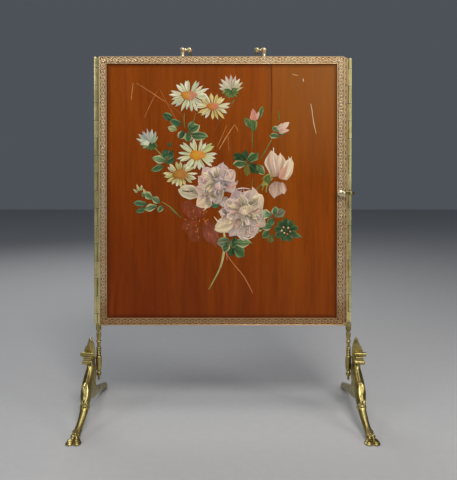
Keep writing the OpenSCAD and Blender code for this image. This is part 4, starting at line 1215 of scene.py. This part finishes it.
# half-open flower at the upper left
for i, (a, L, W, b, t_) in enumerate(((158, 15, 4.6, (176, 196, 160), (214, 224, 210)), (140, 16, 4.8, (150, 172, 140), (196, 206, 200)), (122, 15.5, 4.8, (150, 160, 150), (186, 186, 196)),
                                      (104, 15.5, 4.8, (140, 150, 140), (178, 178, 190)), (86, 15.5, 4.8, (150, 160, 140), (196, 200, 200)), (68, 14.0, 4.4, (140, 156, 130), (180, 190, 180)),
                                      (50, 10.5, 4.0, (120, 146, 110), (160, 180, 150)), (178, 11, 4.2, (130, 156, 120), (180, 196, 170)), (205, 9.0, 3.8, (96, 124, 84), (150, 168, 130)))):
    daisies.petal(151, 144, a, L, W, b, t_, level=0.26 + 0.03 * (i % 3), thick=0.3, tipw=0.72, seed=500 + i, root=0.5)
daisies.blob(146.5, 142.5, 3.4, 2.6, (244, 246, 240), (214, 222, 206), level=0.5, thick=0.4, seed=9)
for i, a in enumerate((200, 235, 262, 290, 330)):
    leaves.petal(152, 143, a, 7.0, 4.4, (40, 84, 56), (88, 124, 82), level=0.4, thick=0.3, seed=520 + i, root=0.5)
# flower seen from behind at the top
for i, (a, L, W, t_) in enumerate(((168, 12, 4.2, (214, 210, 190)), (150, 14, 4.6, (228, 222, 208)), (130, 15.5, 4.6, (236, 230, 222)), (110, 16.0, 4.6, (226, 204, 200)), (90, 16.0, 4.6, (210, 190, 190)),
                                   (72, 15.5, 4.6, (222, 206, 200)), (54, 15.0, 4.4, (236, 228, 214)), (36, 14.0, 4.2, (214, 206, 180)), (16, 12.0, 3.8, (200, 196, 160)), (190, 8.5, 3.6, (168, 170, 130)))):
    daisies.petal(231, 90.5, a, L, W, (150, 152, 118), t_, level=0.26 + 0.03 * (i % 3), thick=0.3, tipw=0.72, seed=540 + i, root=0.5)
for i, (a, L) in enumerate(((205, 9.5), (232, 9), (258, 8.5), (285, 8.5), (312, 9), (340, 9), (180, 8), (8, 8))):
    leaves.petal(231, 89.5, a, L, 4.6, (44, 84, 48), (98, 128, 74), edge=TEALL, level=0.38, thick=0.28, seed=560 + i, root=0.5)

# ---- buds and the sweet pea
blooms = Paint("painted_blooms", PAINT, (1.11, 0.95, 0.79))
LIL, LILD, PNK, CRE, GRB = (186, 168, 174), (142, 124, 136), (206, 158, 150), (224, 210, 186), (134, 140, 146)
blooms.petal(254, 120, 95, 12, 7.4, (196, 130, 120), (214, 164, 152), level=0.24, thick=0.4, seed=600)
blooms.petal(256, 119, 70, 9, 4.2, (214, 160, 146), (230, 196, 184), level=0.3, thick=0.3, seed=601)
blooms.petal(279.5, 128.5, 35, 11.5, 7.0, (214, 186, 176), (236, 222, 212), level=0.24, thick=0.4, seed=602)
blooms.petal(278.5, 131, 8, 10.5, 5.0, (196, 156, 146), (226, 202, 190), level=0.3, thick=0.35, seed=603)
blooms.petal(277.5, 130, 62, 8.5, 4.4, (190, 176, 160), (222, 214, 200), level=0.28, thick=0.3, seed=604)
PEA = [
    (274.5, 176, 97, 25, 15.5, (172, 146, 134), (212, 192, 176), (234, 222, 208), .3),
    (279, 172, 86, 19, 11.0, (190, 168, 152), (222, 206, 190), None, .36),
    (284.5, 179, 74, 23, 11.5, (212, 192, 166), (236, 224, 202), (246, 240, 226), .4),
    (280, 178, 60, 15.5, 9.0, (196, 148, 134), (214, 176, 160), None, .4),
    (270.5, 184, -42, 13.5, 10.5, (166, 144, 134), (200, 180, 168), None, .34),
    (277, 181, 262, 16, 13.0, (166, 142, 134), (200, 178, 168), (226, 212, 202), .4),
    (281, 182, 285, 12, 8.0, (184, 158, 148), (212, 192, 180), None, .4),
    (271, 176, 225, 13.0, 6.2, (128, 138, 70), (160, 160, 84), None, .34),
]
for i, (x, y, a, L, W, b, t_, e, lv_) in enumerate(PEA):
    blooms.petal(x, y, a, L, W, b, t_, edge=e, level=lv_, thick=0.42, tipw=1.1, seed=620 + i, root=0.45, nu=14, nv=11)
blooms.stroke([(273.5, 147), (273.2, 156), (274.4, 165), (276, 172)], 1.5, (244, 240, 236), (226, 216, 214), level=0.72, thick=0.3, seed=1)
blooms.stroke([(288.5, 156), (290, 164), (287, 173), (283, 179)], 1.2, (244, 238, 226), (230, 216, 196), level=0.8, thick=0.3, seed=2)
blooms.blob(267.8, 179, 3.6, 5.0, (104, 122, 66), (78, 98, 52), level=0.5, thick=0.4, seed=4)
for i, pts in enumerate(([(274, 174), (268, 178), (264, 184), (262, 190)], [(273, 177), (268.5, 182), (266.5, 187), (266, 192)], [(272, 173), (266, 175), (261.8, 179)])):
    blooms.stroke(pts, 1.5, (170, 168, 92), (128, 138, 70), level=0.55, thick=0.25, seed=i + 7)

# ---- roses
ROSE = [
    # upper rose: x, y, angle, length, width, colours, edge, level
    (217, 186, 118, 23, 17, (176, 158, 164), (206, 188, 190), (222, 210, 210), .30),
    (219, 186, 84, 23.5, 17, (166, 150, 160), (198, 184, 190), (226, 214, 214), .34),
    (221, 187, 52, 21, 16, (180, 160, 160), (214, 196, 190), (234, 222, 212), .36),
    (215, 188, 148, 20, 16, (180, 158, 160), (212, 190, 186), (228, 214, 208), .38),
    (213, 191, 176, 18, 14, (186, 164, 160), (216, 196, 186), None, .42),
    (222, 188, 22, 15, 13, (176, 160, 166), (204, 190, 192), None, .42),
    (220, 190, 100, 16.5, 14, (150, 142, 156), (188, 176, 184), (216, 206, 208), .52),
    (217, 191, 140, 14, 11.5, (170, 152, 158), (206, 188, 188), None, .56),
    (222, 190, 58, 13.5, 11, (160, 148, 158), (200, 186, 188), (226, 214, 210), .6),
    (224, 187.5, 25, 11.5, 7.5, (214, 156, 146), (224, 176, 164), None, .66),
    (219, 192, 260, 11.5, 12, (150, 146, 152), (188, 182, 180), None, .5),
    # its lower petals
    (198.5, 193.5, 165, 20, 15, (186, 184, 160), (214, 214, 190), (228, 228, 208), .44),
    (212, 195, 208, 18.5, 15.5, (206, 180, 160), (226, 206, 182), (238, 224, 204), .54),
    (210, 192, 236, 15, 12, (214, 186, 170), (230, 212, 192), None, .62),
    (224, 196, 276, 12, 11.5, (170, 156, 160), (202, 188, 188), None, .52),
    # lower rose
    (243, 212, 112, 25, 19, (168, 152, 164), (196, 182, 190), (216, 204, 208), .40),
    (246, 212, 80, 25.5, 19, (176, 160, 166), (210, 196, 194), (230, 218, 210), .44),
    (248, 213, 48, 24, 18, (206, 190, 170), (232, 220, 196), (242, 234, 214), .48),
    (249, 214, 14, 17, 15, (140, 150, 134), (176, 182, 164), None, .46),
    (247, 217, -18, 17, 14.5, (150, 156, 138), (190, 190, 172), None, .50),
    (240, 213, 142, 20, 17, (186, 168, 172), (214, 198, 196), (232, 220, 214), .50),
    (238, 215, 172, 18.5, 15, (206, 184, 178), (226, 208, 198), (240, 228, 218), .56),
    (236, 219, 200, 22, 16.5, (206, 194, 166), (230, 220, 192), (242, 236, 216), .62),
    (240, 221, 232, 17, 14.5, (160, 152, 158), (192, 182, 184), None, .58),
    (246, 221, 262, 18, 15.5, (156, 148, 152), (200, 190, 186), (240, 236, 228), .60),
    (249, 220, 292, 16.5, 13.5, (170, 158, 160), (206, 194, 190), (240, 234, 226), .58),
    (252, 218, 324, 14.5, 12, (168, 160, 152), (200, 192, 178), None, .54),
    (243, 211, 100, 17, 13, (186, 170, 172), (216, 202, 198), (232, 222, 214), .66),
    (248, 212, 60, 15.5, 12, (206, 190, 176), (230, 218, 200), (240, 230, 216), .68),
    (240, 213, 150, 14, 11, (196, 178, 174), (222, 206, 198), None, .70),
    (249, 213, 10, 12, 10, (156, 156, 138), (192, 188, 168), None, .68),
    (244, 214, 220, 12.5, 11, (186, 172, 164), (214, 202, 190), None, .72),
    (247, 214, 290, 12.5, 11, (170, 162, 150), (206, 196, 182), None, .72),
]
for i, (x, y, a, L, W, b, t_, e, lv_) in enumerate(ROSE):
    b = tuple(np.array(b) * 0.8)
    blooms.petal(x, y, a, L, W, b, t_, edge=e, level=lv_, thick=0.5, tipw=1.15, bend=0.24 * (hash01(9, i) - 0.5), streak=0.15, seed=700 + i, root=0.5, nu=16, nv=13)
# small frilled petals that crowd over the large ones
for r, (cx, cy, rx, ry, lv0) in enumerate(((218, 182, 11, 10, .86), (243, 210, 14, 14, .96), (206, 194, 9, 6, .8), (228, 214, 7, 6, .86))):
    for i in range((15, 24, 6, 6)[r]):
        a = 360 * hash01(r, i, 21)
        q = math.radians(a)
        d = 0.45 + 0.6 * hash01(r, i, 22)
        x, y = cx + rx * d * math.cos(q), cy - ry * d * math.sin(q)
        h = hash01(r, i, 23)
        tone = ((226, 212, 204), (204, 174, 168), (228, 216, 184), (184, 166, 178), (238, 230, 220), (176, 172, 150))[int(h * 6)]
        root = tuple(np.array(tone) * (0.46 + 0.26 * hash01(r, i, 24)))
        blooms.petal(x - 3 * math.cos(q), y + 3 * math.sin(q), a + 40 * (hash01(r, i, 25) - 0.5), 6.5 + 4.5 * hash01(r, i, 26), 5 + 3 * hash01(r, i, 27), root, tone,
                     edge=(244, 238, 230) if h > 0.4 else None, level=lv0 + 0.015 * (i % 6), thick=0.36, tipw=1.3, bend=0.5 * (hash01(r, i, 28) - 0.5), streak=0.2, seed=900 + r * 40 + i, root=0.45, nu=9, nv=9)
for i, (x, y, a, L, W, b, t_, e, lv_) in enumerate(ROSE):
    for k in range(5):
        q = math.radians(a + (hash01(i, k, 5) - 0.5) * 50)
        off = (hash01(i, k, 6) - 0.5) * W * 0.6
        nx, ny = -math.sin(q) * off, -math.cos(q) * off
        r0, r1 = L * (0.25 + 0.25 * hash01(i, k, 7)), L * (0.78 + 0.2 * hash01(i, k, 8))
        pale = k % 5 != 0
        c = (240, 230, 222) if pale else (150, 112, 104)
        m = (r0 + r1) / 2
        blooms.stroke([(x + nx + r0 * math.cos(q), y + ny - r0 * math.sin(q)), (x + nx * 1.25 + m * math.cos(q), y + ny * 1.25 - m * math.sin(q)),
                       (x + nx * 0.9 + r1 * math.cos(q), y + ny * 0.9 - r1 * math.sin(q))], 0.55 + 0.4 * hash01(i, k, 9), c, tuple(np.array(t_) * 0.98),
                      level=lv_ + 0.42, thick=0.1, seed=i * 5 + k, nv=3, per=4)
blooms.blob(219, 184, 6.4, 5.4, (122, 128, 144), (164, 158, 168), level=0.9, thick=0.4, seed=11, lump=0.5)
blooms.blob(245, 208.5, 5.6, 5.0, (176, 170, 108), (150, 146, 112), level=1.0, thick=0.4, seed=12, lump=0.6)
for i, (x, y, a, L, W, b, t_) in enumerate(((216, 187.5, 60, 8, 5.5, (196, 176, 178), (222, 206, 204)), (222.5, 188.5, 128, 8, 5.5, (188, 170, 176), (216, 200, 202)), (219, 189, 92, 6.5, 5, (206, 186, 184), (228, 212, 206)),
                                            (240.5, 212.5, 62, 8.5, 5.8, (206, 190, 180), (232, 220, 206)), (250, 211.5, 122, 8.5, 5.8, (206, 192, 172), (230, 220, 198)), (245, 214.5, 92, 6.5, 5.4, (214, 202, 176), (236, 226, 204)))):
    blooms.petal(x, y, a, L, W, b, t_, level=1.1 + 0.05 * (i % 3), thick=0.4, seed=760 + i, root=0.5)
for i, (x, y) in enumerate(((236, 205), (252.5, 205.5), (238.5, 199.5), (250.5, 200))):
    blooms.stroke([(x - 3, y + 2.5), (x, y - 1.5), (x + 3.5, y - 2.5)], 1.1, (236, 228, 220), (214, 200, 200), level=1.15, thick=0.2, seed=i)
for i, (pts, c) in enumerate((([(206, 172), (211, 168), (217, 166)], (232, 224, 220)), ([(224, 168), (229, 172), (231, 178)], (236, 226, 218)), ([(203, 181), (205, 176), (208, 173)], (226, 212, 208)),
                              ([(182, 190), (188, 190.5), (194, 190)], (96, 96, 76)), ([(236, 188.5), (243, 187.4), (250, 188.5)], (232, 226, 222)), ([(256, 192), (260, 198), (261, 205)], (240, 230, 210)),
                              ([(224, 206), (226, 201), (230, 197)], (230, 218, 214)), ([(243, 236.5), (248, 238), (253, 236)], (244, 242, 234)), ([(214, 216), (219, 221.5), (226, 223)], (240, 234, 214)),
                              ([(236, 222), (243, 226), (251, 225)], (150, 140, 144)), ([(262, 208), (262.5, 215), (259, 222)], (196, 200, 182)))):
    blooms.stroke(pts, 1.1, c, level=1.2, thick=0.2, seed=i + 30)
for i, (x, y) in enumerate(((246, 232), (249.5, 233.5), (252.5, 231), (247.5, 228.5))):
    blooms.blob(x, y, 0.8, 0.8, (186, 96, 80), (196, 120, 100), level=1.25, thick=0.2, seed=i, n=6)
blooms.petal(254, 222, -30, 7.5, 5.5, (206, 150, 140), (224, 182, 168), level=0.8, thick=0.4, seed=790)

# ---- the thin rust-coloured flower behind the roses
ghost = Paint("painted_thin_flower", GLAZE)
for i, (x, y, a, L, W, b, t_) in enumerate(((200, 216, 152, 22, 15, (128, 52, 24), (146, 66, 42)), (198, 222, 190, 17, 13, (128, 56, 24), (150, 70, 36)), (201, 226, 235, 17, 15, (122, 52, 22), (142, 68, 34)),
                                            (205, 221, 288, 26, 15, (130, 58, 30), (150, 82, 64)), (206, 219, 312, 21, 12, (132, 62, 36), (152, 88, 74)), (203, 216, 112, 15, 13, (134, 58, 30), (156, 84, 66)),
                                            (200, 214, 176, 15, 10, (140, 62, 34), (158, 80, 58)))):
    ghost.petal(x, y, a, L, W, b, t_, level=0.02 + 0.01 * i, thick=0.1, tipw=1.5, bend=0.3 * (hash01(4, i) - 0.5), seed=800 + i, root=0.5, streak=0.2)
for i, pts in enumerate(([(182, 212), (187, 206), (195, 207)], [(207, 222), (212, 231), (213, 243)], [(214, 224), (217, 234), (215, 244)], [(184, 222), (190, 228), (198, 230)])):
    ghost.stroke(pts, 0.9, (170, 96, 74), (150, 76, 52), level=0.1, thick=0.1, seed=i)
orange = Paint("painted_touches", PAINT)
for i in range(22):
    a, r = hash01(i, 71) * 6.283, 3 + 14 * hash01(i, 72)
    x, y = 199 + r * math.cos(a), 223 + r * 0.9 * math.sin(a)
    orange.stroke([(x - 1.2 * math.cos(a), y - 1.2 * math.sin(a)), (x + 1.2 * math.cos(a), y + 1.2 * math.sin(a))], 0.8, (214, 128, 60), (190, 96, 44), level=0.12, thick=0.12, seed=i, nv=3)

PAINTED = [p.done() for p in (scratches, stems, leaves, daisies, discs, blooms, ghost, orange)]
#PAINT_END


# ------------------------------------------------------------- floor, light ----

floor = mesh_object("floor", [[-6000, -6000, 0], [6000, -6000, 0], [6000, 6000, 0], [-6000, 6000, 0]], [[0, 1, 2, 3]], smooth=False)
t = Tree("pale_floor")
n = t.noise(t.mapped(), 60, 3, 0.5)
t.link(t.mix(t.ramp(n, [(0.3, 0.0), (0.7, 0.5)]), (0.52, 0.52, 0.53), (0.56, 0.56, 0.565)), t.b.inputs["Base Color"])
t.set(Roughness=0.8)
floor.data.materials.append(t.mat)

world = bpy.data.worlds.new("soft") if not bpy.context.scene.world else bpy.context.scene.world
bpy.context.scene.world = world
world.use_nodes = True
wn = world.node_tree
bg = wn.nodes.get("Background") or wn.nodes.new("ShaderNodeBackground")
bg.inputs["Color"].default_value = (0.30, 0.34, 0.40, 1)
bg.inputs["Strength"].default_value = 0.25
bpy.context.scene.view_settings.view_transform = "Standard"


def area(name, loc, target, size, size_y, power, colour=(1, 1, 1)):
    d = bpy.data.lights.new(name, "AREA")
    d.shape = "RECTANGLE"
    d.size, d.size_y, d.energy, d.color = size, size_y, power, colour
    o = bpy.data.objects.new(name, d)
    o.location = loc
    o.rotation_euler = (Vector(target) - Vector(loc)).to_track_quat("-Z", "Y").to_euler()
    bpy.context.scene.collection.objects.link(o)
    return o


area("key", (0.35, -1.55, 2.0), (0, 0, 0.56), 0.6, 0.6, 23, (1.0, 0.97, 0.92))
area("fill", (-1.5, -1.3, 1.3), (0, 0, 0.55), 0.7, 1.1, 6.6, (0.95, 0.98, 1.0))
area("side", (1.25, -0.75, 1.0), (0.25, 0, 0.55), 0.35, 1.2, 5.4, (1.0, 0.99, 0.94))
area("top", (0.0, -0.45, 2.2), (0, 0, 0.6), 1.2, 0.7, 8, (1.0, 0.98, 0.95))
area("back", (-0.8, 1.7, 1.7), (0, 0, 0.4), 1.2, 1.0, 12)

cam = bpy.data.cameras.new("camera")
cam.lens, cam.sensor_width, cam.shift_y = 42.636, 36.0, -0.13
cam.clip_start = 0.05
co = bpy.data.objects.new("camera", cam)
co.location = (0.00998, -1.1372, 0.4861)
co.rotation_euler = (math.pi / 2 - 0.01196, 0, 0)
bpy.context.scene.collection.objects.link(co)
bpy.context.scene.camera = co
